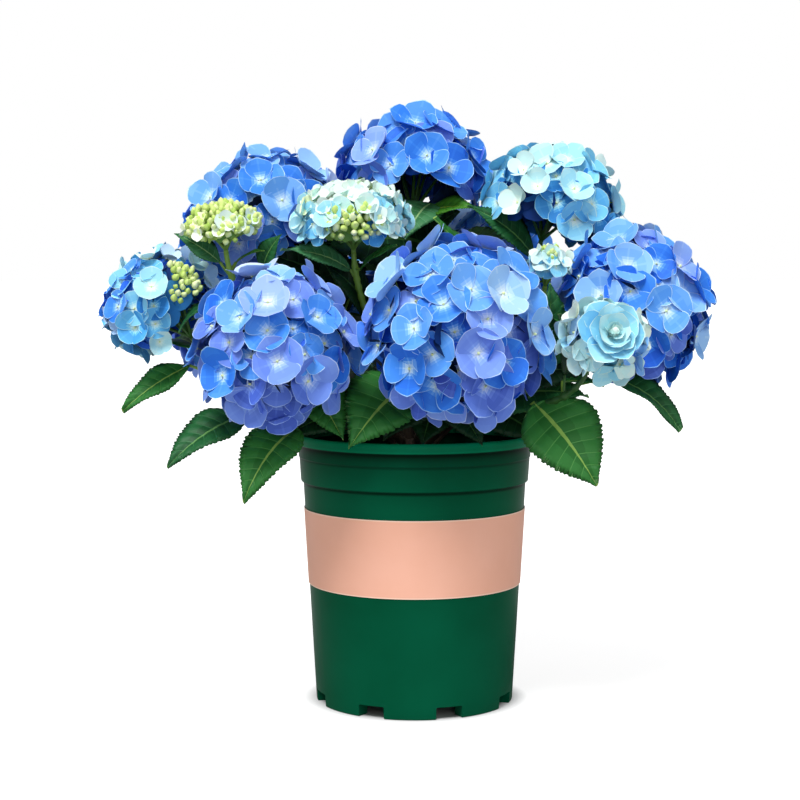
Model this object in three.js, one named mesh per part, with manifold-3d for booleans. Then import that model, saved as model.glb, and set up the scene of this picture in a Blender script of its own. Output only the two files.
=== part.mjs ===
// A mophead hydrangea growing in a round nursery pot, in millimetres, +Z up, front towards -Y.
// The origin is the centre of the pot's underside. Fifteen shoots rise from one woody stool: each is
// a cane, then a leafy green shoot, then a flower head, every piece 0.3 mm clear of the next.
import * as THREE from 'three';
import { mergeVertices } from 'three/addons/utils/BufferGeometryUtils.js';
import Module from 'manifold-3d';

const wasm = await Module();
wasm.setup();

// ---------------------------------------------------------------- driving dimensions
const GAP = 0.35;             // clearance between pieces that touch in life
const ROUND = 32;             // facets round the pot

const POT = {
  height: 262,
  lipRadius: 115.1,
  lipBottom: 251.5,
  neckRadius: 113.4,
  collarTop: 239.3,
  collarTopRadius: 112.7,
  collarBottomRadius: 111.2,
  collarBottom: 215.4,
  wallTopRadius: 108.8,
  footRadius: 96.5,
  wall: 2.4,
  footHeight: 12,
  footDepth: 14,
  floor: 2.6,
  feet: 8,
  notchWidth: 26,
  frontFoot: -93,             // bearing of the foot nearest the front, in degrees
  drainRadius: 5.5,
  drainReach: 74,
};

const BAND = { bottom: 116, top: 189.8, thickness: 0.6 };
const MIX = { edge: 229, top: 239, crownRadius: 46 };
const STOOL = { height: 20, footRadius: 30, shoulderRadius: 25, topRadius: 19, sides: 20 };

// Canes leave the stool in two rings, evenly spaced. A shoot names its ring and its place in it.
const RINGS = {
  side: { radius: 15, rise: 8, tilt: 38, first: -195, step: 36 },
  crown: { radius: 9, rise: 12, tilt: 12, first: -118, step: 72 },
};

const CANE = { radius: 4.3, tipRadius: 3.4, share: 0.36, sides: 5 };
const SHOOT = { radius: 3.3, tipRadius: 2.4, sides: 3 };
const STALK = { radius: 2.4, sides: 3 };
const PETIOLE = { radius: 1.5, share: 0.2, lift: 5 };
const LEAF = { length: 112, width: 66, thickness: 2.2, fold: 0.16, arch: 0.1, drop: 0.42, spread: 0.86 };
const FLORET = { size: 0.37, waist: 0.62, dish: 0.12, cup: 0.17, root: 0.37, spacing: 2.05, clear: 1.04 };
const CORE = { size: 0.89, flatUnderside: 0.6 };
const RAYS = 4;
const RAY_START = 5;          // from the foot of the stalk up to where the rays part

// at: centre of the head. radius: across its axis. flat: height over width. lean: tilt of its axis from
// upright, towards the bearing. cover: how far down from its crown the florets reach. stem: from the
// centre down to the shoot's tip. rays: the head is open below, with its branches in view.
const HEADS = [
  { name: 'front_big', ring: 'side', slot: 3, at: [36, -150, 367], radius: 88,
    flat: 0.98, lean: 42, bearing: -80, cover: 150, stem: 92 },
  { name: 'front_left', ring: 'side', slot: 2, at: [-128, -135, 352], radius: 77,
    flat: 0.98, lean: 50, bearing: -130, cover: 150, stem: 82 },
  { name: 'right', ring: 'side', slot: 6, at: [203, -60, 390], radius: 80,
    flat: 0.96, lean: 46, bearing: -22, cover: 146, stem: 83 },
  { name: 'top', ring: 'crown', slot: 3, at: [-2, 75, 524], radius: 79,
    flat: 0.8, lean: 8, bearing: -90, cover: 118, stem: 52, rays: true },
  { name: 'upper_left', ring: 'crown', slot: 4, at: [-149, 30, 475], radius: 84,
    flat: 0.8, lean: 22, bearing: 180, cover: 132, stem: 72 },
  { name: 'upper_right', ring: 'crown', slot: 1, at: [135, 20, 490], radius: 73,
    flat: 0.76, lean: 15, bearing: -20, cover: 116, stem: 46, rays: true },
  { name: 'far_left', ring: 'side', slot: 0, at: [-241, -40, 390], radius: 58,
    flat: 0.95, lean: 40, bearing: -165, cover: 124, stem: 48, rays: true },
  { name: 'lime', ring: 'side', slot: 1, at: [-179, -75, 462], radius: 37,
    flat: 0.62, lean: 12, bearing: -120, cover: 104, stem: 26, rays: true },
  { name: 'young', ring: 'crown', slot: 0, at: [-59, -65, 470], radius: 54,
    flat: 0.58, lean: 12, bearing: -100, cover: 112, stem: 34, rays: true },
  { name: 'rose', ring: 'side', slot: 4, at: [164, -175, 361], radius: 40,
    flat: 0.9, lean: 40, bearing: -62, cover: 140, stem: 42 },
  { name: 'bud', ring: 'side', slot: 5, at: [122, -95, 427], radius: 21,
    flat: 0.85, lean: 18, bearing: -70, cover: 115, stem: 25 },
  { name: 'back_left', ring: 'side', slot: 9, at: [-195, 125, 371], radius: 70,
    flat: 0.94, lean: 42, bearing: 150, cover: 146, stem: 72 },
  { name: 'back_top', ring: 'crown', slot: 2, at: [85, 168, 439], radius: 69,
    flat: 0.86, lean: 30, bearing: 70, cover: 135, stem: 66 },
  { name: 'back_right', ring: 'side', slot: 7, at: [226, 108, 383], radius: 71,
    flat: 0.94, lean: 42, bearing: 30, cover: 146, stem: 73 },
  { name: 'back_low', ring: 'side', slot: 8, at: [-50, 166, 375], radius: 70,
    flat: 0.94, lean: 42, bearing: 105, cover: 146, stem: 72 },
];

// Leaves with a set place: the shoot, how far up it the leaf joins, where its blade starts and ends, the
// blade's width over its length, and for a leaf that hangs, the bearing its upper side is turned to.
const SET_LEAVES = [
  { shoot: 'far_left', at: 0.5, base: [-215, -40, 330], tip: [-276, -65, 288], width: 0.52 },
  { shoot: 'front_left', at: 0.3, base: [-156, -85, 287], tip: [-225, -135, 243], width: 0.5, face: -115 },
  { shoot: 'front_left', at: 0.16, base: [-110, -95, 275], tip: [-155, -150, 213], width: 0.56, face: -105 },
  { shoot: 'front_big', at: 0.3, base: [-5, -68, 315], tip: [-61, -132, 260], width: 0.6, face: -90 },
  { shoot: 'rose', at: 0.4, base: [108, -115, 300], tip: [163, -145, 227], width: 0.62, face: -85 },
  { shoot: 'rose', at: 0.75, base: [135, -100, 318], tip: [175, -90, 313], width: 0.7 },
  { shoot: 'right', at: 0.6, base: [179, -80, 322], tip: [247, -85, 271], width: 0.5, face: -60 },
  { shoot: 'top', at: 0.86, base: [-6, 50, 481], tip: [-55, 22, 511], width: 0.42, face: -120 },
  { shoot: 'top', at: 0.8, base: [16, 45, 487], tip: [-10, -5, 450], width: 0.62, face: -90 },
  { shoot: 'top', at: 0.82, base: [11, 40, 478], tip: [62, 5, 481], width: 0.5 },
  { shoot: 'upper_right', at: 0.86, base: [116, 12, 435], tip: [50, -5, 483], width: 0.42, face: -90 },
  { shoot: 'upper_left', at: 0.8, base: [-143, 5, 423], tip: [-124, -15, 454], width: 0.6, face: -90 },
  { shoot: 'young', at: 0.8, base: [-61, -55, 421], tip: [-125, -85, 439], width: 0.42, face: -90 },
  { shoot: 'lime', at: 0.86, base: [-183, -60, 428], tip: [-226, -62, 455], width: 0.45, face: -90 },
  { shoot: 'lime', at: 0.9, base: [-168, -62, 428], tip: [-140, -78, 439], width: 0.4 },
  { shoot: 'young', at: 0.9, base: [-52, -60, 421], tip: [-17, -75, 444], width: 0.36 },
];

// Every shoot also carries crossed pairs of leaves at these places up its length.
const PAIRS = [0.2, 0.42, 0.66];

// A leaf in the way of another piece is tried again shorter and lower, then left off.
const TRIES = [[1, 0], [0.85, -14], [0.7, 10]];

// ---------------------------------------------------------------- finishes
const finish = (color, roughness) => new THREE.MeshStandardMaterial({ color, roughness, metalness: 0 });
const POT_FINISH = [0x07553d, 0.38];
const BAND_FINISH = [0xe6ab92, 0.55];
const MIX_FINISH = [0x2b1d14, 0.95];
const WOOD_FINISH = [0x5b4a30, 0.85];
const GREEN_FINISH = [0x2f6f33, 0.6];
const HEAD_COLOURS = {
  far_left: 0x8fc4e6, lime: 0xc6dc86, young: 0xc9e9dc, rose: 0xb9e2ee, bud: 0xc3e2c0, upper_right: 0x9fd0ea,
};
const HEAD_BLUE = 0x6f97e6;

// ---------------------------------------------------------------- small tools
const UP = new THREE.Vector3(0, 0, 1);
const radians = THREE.MathUtils.degToRad;
const vector = (list) => new THREE.Vector3(...list);
const solids = new Map();     // name -> manifold solid, in the order they are made
const plant = new THREE.Group();

function towards(bearing, elevation) {
  const b = radians(bearing);
  const e = radians(elevation);
  return new THREE.Vector3(Math.cos(b) * Math.cos(e), Math.sin(b) * Math.cos(e), Math.sin(e));
}

// A repeatable stream of numbers from 0 to 1 for one named piece.
function seeded(name) {
  let state = [...name].reduce((sum, letter) => (sum * 31 + letter.charCodeAt(0)) >>> 0, 7);
  return () => {
    state = (Math.imul(state, 1664525) + 1013904223) >>> 0;
    return state / 4294967296;
  };
}

function toSolid(geometry) {
  const bare = geometry.clone();
  bare.deleteAttribute('normal');
  bare.deleteAttribute('uv');
  const merged = mergeVertices(bare, 1e-4);
  return new wasm.Manifold(new wasm.Mesh({
    numProp: 3,
    vertProperties: new Float32Array(merged.attributes.position.array),
    triVerts: new Uint32Array(merged.index.array),
  }));
}

function toGeometry(solid) {
  const mesh = solid.getMesh();
  const geometry = new THREE.BufferGeometry();
  geometry.setAttribute('position', new THREE.BufferAttribute(new Float32Array(mesh.vertProperties), 3));
  geometry.setIndex(new THREE.BufferAttribute(new Uint32Array(mesh.triVerts), 1));
  geometry.computeVertexNormals();
  return geometry;
}

const fuse = (parts) => parts.reduce((whole, part) => whole.add(part));

function addPiece(name, solid, [color, roughness]) {
  const mesh = new THREE.Mesh(toGeometry(solid), finish(color, roughness));
  mesh.name = name;
  plant.add(mesh);
  solids.set(name, solid);
}

// True where the trial solid touches nothing that is already placed, its own piece left out.
function isClear(trial, ownName) {
  const a = trial.boundingBox();
  for (const [name, other] of solids) {
    const b = other.boundingBox();
    const apart = [0, 1, 2].some((i) => a.max[i] < b.min[i] || b.max[i] < a.min[i]);
    if (name !== ownName && !apart && !trial.intersect(other).isEmpty()) {
      return false;
    }
  }
  return true;
}

// A closed tube along a curve from one share of its length to another, tapering from r0 to r1.
function limb(curve, from, to, r0, r1, sides, steps) {
  const geometry = new THREE.CylinderGeometry(1, 1, 1, sides, steps);
  const position = geometry.attributes.position;
  const side = new THREE.Vector3().crossVectors(curve.getTangentAt(from), new THREE.Vector3(0.31, 0.95, 0.02));
  const point = new THREE.Vector3();
  for (let i = 0; i < position.count; i += 1) {
    const t = 0.5 - position.getY(i);
    const u = from + (to - from) * t;
    const tangent = curve.getTangentAt(u);
    const across = side.clone().projectOnPlane(tangent).normalize();
    const over = new THREE.Vector3().crossVectors(tangent, across);
    const radius = r0 + (r1 - r0) * t;
    point.copy(curve.getPointAt(u));
    point.addScaledVector(across, radius * position.getX(i));
    point.addScaledVector(over, radius * position.getZ(i));
    position.setXYZ(i, point.x, point.y, point.z);
  }
  return toSolid(geometry);
}

// ---------------------------------------------------------------- pot, band, potting mix, stool
const wallRadius = (z) => POT.footRadius + (POT.wallTopRadius - POT.footRadius) * (z / POT.collarBottom);
const lathe = (points, sides) => new THREE.LatheGeometry(points.map(([r, z]) => new THREE.Vector2(r, z)), sides)
  .rotateX(Math.PI / 2);

function potSolid() {
  const inside = POT.footHeight + POT.floor;
  const footInner = POT.footRadius - POT.footDepth;
  const body = toSolid(lathe([
    [0, POT.footHeight],
    [footInner, POT.footHeight],
    [footInner, 0],
    [POT.footRadius - 1, 0],
    [wallRadius(1.2), 1.2],
    [POT.wallTopRadius, POT.collarBottom],
    [POT.collarBottomRadius, POT.collarBottom + 1],
    [POT.collarTopRadius, POT.collarTop],
    [POT.neckRadius, POT.collarTop + 0.8],
    [POT.neckRadius, POT.lipBottom],
    [POT.lipRadius, POT.lipBottom + 0.8],
    [POT.lipRadius, POT.height - 2.6],
    [POT.lipRadius - 1.4, POT.height - 0.5],
    [POT.lipRadius - 3, POT.height],
    [POT.lipRadius - 4.6, POT.height - 1],
    [POT.neckRadius - POT.wall, POT.collarTop],
    [POT.collarBottomRadius - POT.wall, POT.collarBottom + 3],
    [POT.wallTopRadius - POT.wall, POT.collarBottom - 2],
    [wallRadius(inside) - POT.wall, inside],
    [0, inside],
  ], ROUND));
  const step = 360 / POT.feet;
  let cut = body;
  for (let i = 0; i < POT.feet; i += 1) {
    const bearing = POT.frontFoot + step * (i + 0.5);
    const notch = new THREE.BoxGeometry(POT.footDepth + 8, POT.notchWidth, POT.footHeight + 2);
    notch.translate(POT.footRadius - POT.footDepth / 2, 0, POT.footHeight / 2 - 1);
    notch.rotateZ(radians(bearing));
    const drain = new THREE.CylinderGeometry(POT.drainRadius, POT.drainRadius, POT.floor * 3, 10);
    drain.rotateX(Math.PI / 2);
    drain.translate(POT.drainReach, 0, POT.footHeight + POT.floor / 2);
    drain.rotateZ(radians(bearing));
    cut = cut.subtract(toSolid(notch)).subtract(toSolid(drain));
  }
  return cut;
}

function bandSolid() {
  const inner = (z) => wallRadius(z) + GAP;
  const outer = (z) => inner(z) + BAND.thickness;
  return toSolid(lathe([
    [inner(BAND.bottom), BAND.bottom],
    [outer(BAND.bottom), BAND.bottom],
    [outer(BAND.top), BAND.top],
    [inner(BAND.top), BAND.top],
    [inner(BAND.bottom), BAND.bottom],
  ], ROUND));
}

function mixSolid() {
  const bottom = POT.footHeight + POT.floor + GAP;
  const shoulder = POT.collarBottom - 2.5;
  const inner = (z) => wallRadius(z) - POT.wall - GAP;
  return toSolid(lathe([
    [0, bottom],
    [inner(bottom), bottom],
    [inner(shoulder), shoulder],
    [inner(shoulder) + 1, MIX.edge],
    [MIX.crownRadius, MIX.top],
    [0, MIX.top],
  ], ROUND));
}

function stoolSolid(extra) {
  const foot = MIX.top + GAP;
  return toSolid(lathe([
    [0, foot],
    [STOOL.footRadius + extra, foot],
    [STOOL.shoulderRadius + extra, foot + STOOL.height * 0.45],
    [STOOL.topRadius + extra, foot + STOOL.height + extra],
    [0, foot + STOOL.height + extra],
  ], STOOL.sides));
}

addPiece('pot', potSolid(), POT_FINISH);
addPiece('label_band', bandSolid(), BAND_FINISH);
addPiece('potting_mix', mixSolid(), MIX_FINISH);
addPiece('stool', stoolSolid(0), WOOD_FINISH);

// ---------------------------------------------------------------- lines of growth
// Each shoot follows one smooth curve from the stool to the foot of its flower head.
function growthOf(head) {
  const ring = RINGS[head.ring];
  const bearing = ring.first + ring.step * head.slot;
  const centre = vector(head.at);
  const axis = towards(head.bearing, 90 - head.lean);
  const foot = centre.clone().addScaledVector(axis, -head.stem);
  const start = towards(bearing, 0).multiplyScalar(ring.radius).setZ(MIX.top + ring.rise);
  const span = start.distanceTo(foot);
  const leave = towards(bearing, 90 - ring.tilt);
  return {
    axis,
    centre,
    foot,
    curve: new THREE.CubicBezierCurve3(
      start,
      start.clone().addScaledVector(leave, span * 0.36),
      foot.clone().addScaledVector(axis, -span * 0.34),
      foot,
    ),
  };
}

const growth = new Map(HEADS.map((head) => [head.name, growthOf(head)]));
const shareOf = (curve, length) => length / curve.getLength();

// ---------------------------------------------------------------- canes and green shoots
const stoolSpace = stoolSolid(GAP);
for (const head of HEADS) {
  const { curve } = growth.get(head.name);
  const cane = limb(curve, 0, CANE.share, CANE.radius, CANE.tipRadius, CANE.sides, 4);
  addPiece(`cane_${head.name}`, cane.subtract(stoolSpace), WOOD_FINISH);
}

const greens = new Map();
for (const head of HEADS) {
  const { curve } = growth.get(head.name);
  const from = CANE.share + shareOf(curve, GAP);
  greens.set(head.name, limb(curve, from, 1, SHOOT.radius, SHOOT.tipRadius, SHOOT.sides, 5));
}

// ---------------------------------------------------------------- flower heads
// One floret: four broad petals cupped up from the waists between them, on a four-sided root.
function floret(size, root) {
  const geometry = new THREE.BufferGeometry();
  const points = [[0, 0, -size * FLORET.dish], [0, 0, -root]];
  const faces = [];
  for (let i = 0; i < 4; i += 1) {
    const angle = i * Math.PI / 2;
    const between = angle + Math.PI / 4;
    const waist = size * FLORET.waist;
    points.push([Math.cos(angle) * size, Math.sin(angle) * size, 0]);
    points.push([Math.cos(between) * waist, Math.sin(between) * waist, -size * FLORET.cup]);
    const tip = 2 + 2 * i;
    const after = tip + 1;
    const before = 2 + (2 * i + 7) % 8;
    faces.push(0, tip, after, 0, before, tip, tip, before, after, 1, after, before);
  }
  geometry.setAttribute('position', new THREE.Float32BufferAttribute(points.flat(), 3));
  geometry.setIndex(faces);
  return geometry;
}

// Where the florets of a head sit: a spiral from its crown down to its cover, evenly spaced.
function floretPlaces(head, size) {
  const zone = 1 - Math.cos(radians(head.cover));
  const area = 2 * Math.PI * head.radius ** 2 * zone;
  const count = Math.round(area / (FLORET.spacing * size) ** 2);
  const golden = Math.PI * (3 - Math.sqrt(5));
  return Array.from({ length: count }, (_, i) => {
    const z = 1 - zone * ((i + 0.5) / count);
    const r = Math.sqrt(1 - z * z);
    return new THREE.Vector3(r * Math.cos(i * golden), r * Math.sin(i * golden), z);
  });
}

function coreSolid(head, turn) {
  const geometry = new THREE.IcosahedronGeometry(1, 0);
  const position = geometry.attributes.position;
  const size = head.radius * CORE.size;
  for (let i = 0; i < position.count; i += 1) {
    const z = position.getZ(i);
    const under = head.rays && z < 0 ? CORE.flatUnderside : 1;
    position.setXYZ(i, position.getX(i) * size, position.getY(i) * size, z * size * head.flat * under);
  }
  geometry.applyMatrix4(turn);
  return toSolid(geometry);
}

function straight(from, to, r0, r1, sides) {
  return limb(new THREE.LineCurve3(from, to), 0, 1, r0, r1, sides, 1);
}

function stalkParts(head, turn) {
  const { foot, axis, centre } = growth.get(head.name);
  const start = foot.clone().addScaledVector(axis, GAP);
  if (!head.rays) {
    return [straight(start, centre, STALK.radius, STALK.radius, STALK.sides)];
  }
  const fork = foot.clone().addScaledVector(axis, RAY_START);
  const neck = fork.clone().addScaledVector(axis, 3);
  const parts = [straight(start, neck, STALK.radius, STALK.radius, STALK.sides)];
  for (let i = 0; i < RAYS; i += 1) {
    const angle = (i + 0.3) * (2 * Math.PI / RAYS);
    const reach = head.radius * CORE.size * 0.6;
    const end = new THREE.Vector3(Math.cos(angle) * reach, Math.sin(angle) * reach, 0).applyMatrix4(turn);
    parts.push(straight(fork, end, STALK.radius * 0.8, STALK.radius * 0.6, 3));
  }
  return parts;
}

for (const head of HEADS) {
  const { centre, axis } = growth.get(head.name);
  const random = seeded(head.name);
  const upright = new THREE.Quaternion().setFromUnitVectors(UP, axis);
  const turn = new THREE.Matrix4().compose(centre, upright, new THREE.Vector3(1, 1, 1));
  const size = head.radius * FLORET.size;
  const core = coreSolid(head, turn);
  const parts = [core, ...stalkParts(head, turn)];
  floretPlaces(head, size).forEach((place, i) => {
    const level = Math.sqrt(1 - (FLORET.size * 0.8) ** 2) - (i % 3) * 0.025;
    const spot = place.clone().multiplyScalar(head.radius * level);
    spot.z *= head.flat;
    const outward = new THREE.Vector3(place.x, place.y, place.z / head.flat).normalize();
    const tilt = new THREE.Quaternion().setFromUnitVectors(UP, outward);
    const spin = new THREE.Quaternion().setFromAxisAngle(UP, random() * Math.PI / 2);
    const pose = new THREE.Matrix4().compose(spot, tilt.multiply(spin), new THREE.Vector3(1, 1, 1));
    pose.premultiply(turn);
    const root = head.radius * head.flat * FLORET.root;
    const room = floret(size * FLORET.clear, root).applyMatrix4(pose);
    const bloom = toSolid(floret(size, root).applyMatrix4(pose));
    if (isClear(toSolid(room), head.name) && !bloom.intersect(core).isEmpty()) {
      parts.push(bloom);
    }
  });
  const colour = HEAD_COLOURS[head.name] ?? HEAD_BLUE;
  addPiece(`head_${head.name}`, fuse(parts), [colour, 0.7]);
}

// ---------------------------------------------------------------- leaves
// Faces of a leaf by point number. The rim is 0-2 left, 3 tip, 4-6 right; the keel is 7 and 8 above,
// 9 and 10 below; the petiole is 11-13 where the blade starts and 14-16 at the shoot.
const LEAF_FACES = [
  [11, 7, 0], [0, 7, 1], [7, 8, 1], [1, 8, 2], [2, 8, 3],
  [3, 8, 4], [4, 8, 5], [8, 7, 5], [5, 7, 6], [6, 7, 12],
  [0, 9, 11], [1, 9, 0], [1, 10, 9], [2, 10, 1], [3, 10, 2],
  [4, 10, 3], [5, 10, 4], [5, 9, 10], [6, 9, 5], [12, 9, 6],
  [12, 7, 11], [11, 9, 13], [13, 9, 12],
  [12, 11, 14], [12, 14, 15], [11, 13, 16], [11, 16, 14], [13, 12, 15], [13, 15, 16], [15, 14, 16],
];
const RIM = [[0.22, 0.41], [0.5, 0.47], [0.78, 0.24]];
const KEEL = [0.3, 0.7];

// A leaf from its node on the shoot to its tip: a three-sided petiole, then a pointed oval blade that
// is raised to a keel above and below, folded up from the midrib and arched along its length.
// extra grows it all round, for a trial fit.
function leafSolid(node, base, tip, widthShare, facing, extra) {
  const along = tip.clone().sub(base);
  const length = along.length();
  along.normalize();
  const over = facing.clone().projectOnPlane(along).normalize();
  const across = new THREE.Vector3().crossVectors(over, along);
  const pose = new THREE.Matrix4().makeBasis(along, across, over).setPosition(base);
  const root = node.clone().applyMatrix4(pose.clone().invert());
  const height = (x, y) => LEAF.fold * Math.abs(y) + LEAF.arch * 4 * x * (1 - x / length);
  const left = RIM.map(([x, y]) => [x * length, y * length * widthShare + extra]);
  const right = left.map(([x, y]) => [x, -y]).reverse();
  const thick = LEAF.thickness / 2 + extra;
  const stem = PETIOLE.radius + extra;
  const ring = [[0, stem, stem / 2], [0, -stem, stem / 2], [0, 0, -stem]];
  const points = [
    ...[...left, [length + extra, 0], ...right].map(([x, y]) => [x, y, height(x, y)]),
    ...KEEL.map((x) => [x * length, 0, height(x * length, 0) + thick]),
    ...KEEL.map((x) => [x * length, 0, height(x * length, 0) - thick]),
    ...ring,
    ...ring.map(([x, y, z]) => [root.x + x, root.y + y, root.z + z]),
  ];
  const geometry = new THREE.BufferGeometry();
  geometry.setAttribute('position', new THREE.Float32BufferAttribute(points.flat(), 3));
  geometry.setIndex(LEAF_FACES.flat());
  return toSolid(geometry.applyMatrix4(pose));
}

// A pair of leaves spreads to both sides of its shoot; each next pair is turned a quarter.
function pairTips(curve, at, turned, random) {
  const tangent = curve.getTangentAt(at);
  const node = curve.getPointAt(at);
  const level = new THREE.Vector3().crossVectors(tangent, UP).normalize();
  const sides = turned ? new THREE.Vector3().crossVectors(level, tangent).normalize() : level;
  return [1, -1].map((sign) => {
    const reach = LEAF.length * (0.86 + 0.3 * random());
    const aim = sides.clone().multiplyScalar(sign * LEAF.spread).addScaledVector(tangent, 0.35);
    aim.z -= LEAF.drop * random();
    const tip = node.clone().addScaledVector(aim.normalize(), reach);
    return tip.setZ(Math.max(tip.z, POT.height));
  });
}

const outwardOf = (point) => new THREE.Vector3(point.x, point.y, 0).normalize();
const facingOf = (tip, face) => (face === undefined
  ? UP.clone().addScaledVector(outwardOf(tip), 0.45).normalize()
  : UP.clone().addScaledVector(towards(face, 0), 1.1).normalize());

for (const head of HEADS) {
  const { curve } = growth.get(head.name);
  const name = `leaves_${head.name}`;
  const random = seeded(name);
  const onShoot = (share) => CANE.share + (1 - CANE.share) * share;
  const wanted = SET_LEAVES.filter((leaf) => leaf.shoot === head.name)
    .map((leaf) => ({ ...leaf, at: onShoot(leaf.at), base: vector(leaf.base), tip: vector(leaf.tip) }));
  PAIRS.forEach((share, i) => {
    for (const tip of pairTips(curve, onShoot(share), i % 2 === 1, random)) {
      wanted.push({ at: onShoot(share), tip, width: LEAF.width / LEAF.length });
    }
  });
  head.wanted = wanted;
  solids.set(name, greens.get(head.name));
}

const leafMass = new Map(HEADS.map((head) => [head.name, greens.get(head.name)]));
const rounds = Math.max(...HEADS.map((head) => head.wanted.length));
for (let turnOf = 0; turnOf < rounds; turnOf += 1) {
  for (const head of HEADS.filter((each) => each.wanted.length > turnOf)) {
    const name = `leaves_${head.name}`;
    const { at, base, tip, width, face } = head.wanted[turnOf];
    const facing = facingOf(tip, face);
    const node = growth.get(head.name).curve.getPointAt(at);
    for (const [share, lift] of TRIES) {
      const end = (base ?? node).clone().lerp(tip, share);
      end.z += lift;
      const start = base ?? node.clone().lerp(end, PETIOLE.share).addScaledVector(facing, PETIOLE.lift);
      if (isClear(leafSolid(node, start, end, width, facing, GAP), name)) {
        leafMass.set(head.name, leafMass.get(head.name).add(leafSolid(node, start, end, width, facing, 0)));
        solids.set(name, leafMass.get(head.name));
        break;
      }
    }
  }
}

for (const head of HEADS) {
  addPiece(`leaves_${head.name}`, leafMass.get(head.name), GREEN_FINISH);
}

export default plant;
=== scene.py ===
import math

import bpy
import numpy as np
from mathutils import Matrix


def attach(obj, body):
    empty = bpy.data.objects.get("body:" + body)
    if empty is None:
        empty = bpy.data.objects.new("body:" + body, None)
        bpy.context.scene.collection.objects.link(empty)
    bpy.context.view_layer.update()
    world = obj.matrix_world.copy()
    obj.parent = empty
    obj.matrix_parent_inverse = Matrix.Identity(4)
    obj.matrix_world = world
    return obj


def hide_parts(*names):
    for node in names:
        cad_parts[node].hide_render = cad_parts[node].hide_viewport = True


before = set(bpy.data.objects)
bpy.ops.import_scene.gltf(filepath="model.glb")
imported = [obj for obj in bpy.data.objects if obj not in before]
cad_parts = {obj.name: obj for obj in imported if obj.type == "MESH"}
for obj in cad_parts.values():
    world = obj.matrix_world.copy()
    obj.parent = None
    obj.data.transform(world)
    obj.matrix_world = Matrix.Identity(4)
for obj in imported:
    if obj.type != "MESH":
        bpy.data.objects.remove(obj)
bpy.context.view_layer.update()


# ---------------------------------------------------------------- camera, floor and lights
# The viewer stands 1.7 m away, a little above the pot's rim, and looks 4 degrees down. The floor glows
# white for the viewer alone, and its glow fades out under the pot as a painted shadow. A strong soft light
# comes from above on the left, and three weak ones come from the front and from both sides.
EYE = (-0.01425, -1.699, 0.418)
PITCH = 4.177
FILM = 36
FOCAL_SHARE = 1741 / 800
SURROUND = {"seen": 1.0, "light": 0.30}
FLOOR = {"half": 80, "bounce": 0.5, "seen": 0.82, "painted_shadow_core": 0.088, "painted_shadow_edge": 0.112}
LAMPS = {
    "soft_key": {"from": (-0.26, -0.56, 1.0), "strength": 3.1, "spread": 26},
    "soft_fill": {"from": (0.20, -1.0, 0.22), "strength": 0.62, "spread": 40},
    "left_side": {"from": (-1.0, -0.45, 0.15), "strength": 0.5, "spread": 50},
    "right_side": {"from": (1.0, -0.5, 0.15), "strength": 0.5, "spread": 50},
}

lens = bpy.data.cameras.new("studio_camera")
lens.lens = FOCAL_SHARE * FILM
lens.sensor_width = FILM
viewer = bpy.data.objects.new("studio_camera", lens)
viewer.location = EYE
viewer.rotation_euler = (math.radians(90 - PITCH), 0, 0)
bpy.context.collection.objects.link(viewer)
bpy.context.scene.camera = viewer
bpy.context.scene.view_settings.view_transform = "Standard"


def set_inputs(tree, node, inputs):
    """Sets a node's inputs: each to a plain value, or joined to an output of another node."""
    for key, value in inputs.items():
        if isinstance(value, bpy.types.NodeSocket):
            tree.links.new(value, node.inputs[key])
        else:
            node.inputs[key].default_value = value


def add_node(tree, kind, output, inputs, **settings):
    """Adds a shader node of this kind and gives back one of its outputs."""
    node = tree.nodes.new("ShaderNode" + kind)
    for key, value in settings.items():
        setattr(node, key, value)
    set_inputs(tree, node, inputs)
    return node.outputs[output]


def new_finish(name):
    """A new material, its node tree and the place on the piece, which its patterns read."""
    finish = bpy.data.materials.new(name)
    finish.use_nodes = True
    return finish, finish.node_tree, add_node(finish.node_tree, "TexCoord", "Object", {})


surround = bpy.data.worlds.new("white_surround")
surround.use_nodes = True
tree = surround.node_tree
seen = add_node(tree, "LightPath", "Is Camera Ray", {})
strength = add_node(tree, "MapRange", "Result", {
    "Value": seen, "To Min": SURROUND["light"], "To Max": SURROUND["seen"]})
set_inputs(tree, tree.nodes["Background"], {"Color": (1, 1, 1, 1), "Strength": strength})
bpy.context.scene.world = surround

floor_corners = [(x * FLOOR["half"], y * FLOOR["half"], 0) for x, y in ((-1, -1), (1, -1), (1, 1), (-1, 1))]
floor_mesh = bpy.data.meshes.new("studio_floor")
floor_mesh.from_pydata(floor_corners, [], [(0, 1, 2, 3)])
studio_floor = bpy.data.objects.new("studio_floor", floor_mesh)
bpy.context.collection.objects.link(studio_floor)
floor_paint, tree, place = new_finish("floor_paint")
# The glow fades to nothing towards the middle under the pot: a painted shadow there.
reach = add_node(tree, "VectorMath", "Value", {"Vector": place}, operation="LENGTH")
glow_with_painted_shadow = add_node(tree, "MapRange", "Result", {
    "Value": reach, "From Min": FLOOR["painted_shadow_core"], "From Max": FLOOR["painted_shadow_edge"], "To Max": FLOOR["seen"]})
seen = add_node(tree, "LightPath", "Is Camera Ray", {})
glow = add_node(tree, "MapRange", "Result", {"Value": seen, "To Max": glow_with_painted_shadow})
set_inputs(tree, tree.nodes["Principled BSDF"], {
    "Base Color": (FLOOR["bounce"],) * 3 + (1,), "Roughness": 1.0, "Specular IOR Level": 0.0,
    "Emission Color": (1, 1, 1, 1), "Emission Strength": glow})
floor_mesh.materials.append(floor_paint)

for name, lamp in LAMPS.items():
    light = bpy.data.lights.new(name, "SUN")
    light.energy = lamp["strength"]
    light.angle = math.radians(lamp["spread"])
    holder = bpy.data.objects.new(name, light)
    side, front, above = lamp["from"]
    holder.rotation_euler = (math.atan2(math.hypot(side, front), above), 0, math.atan2(side, -front))
    bpy.context.collection.objects.link(holder)


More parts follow.
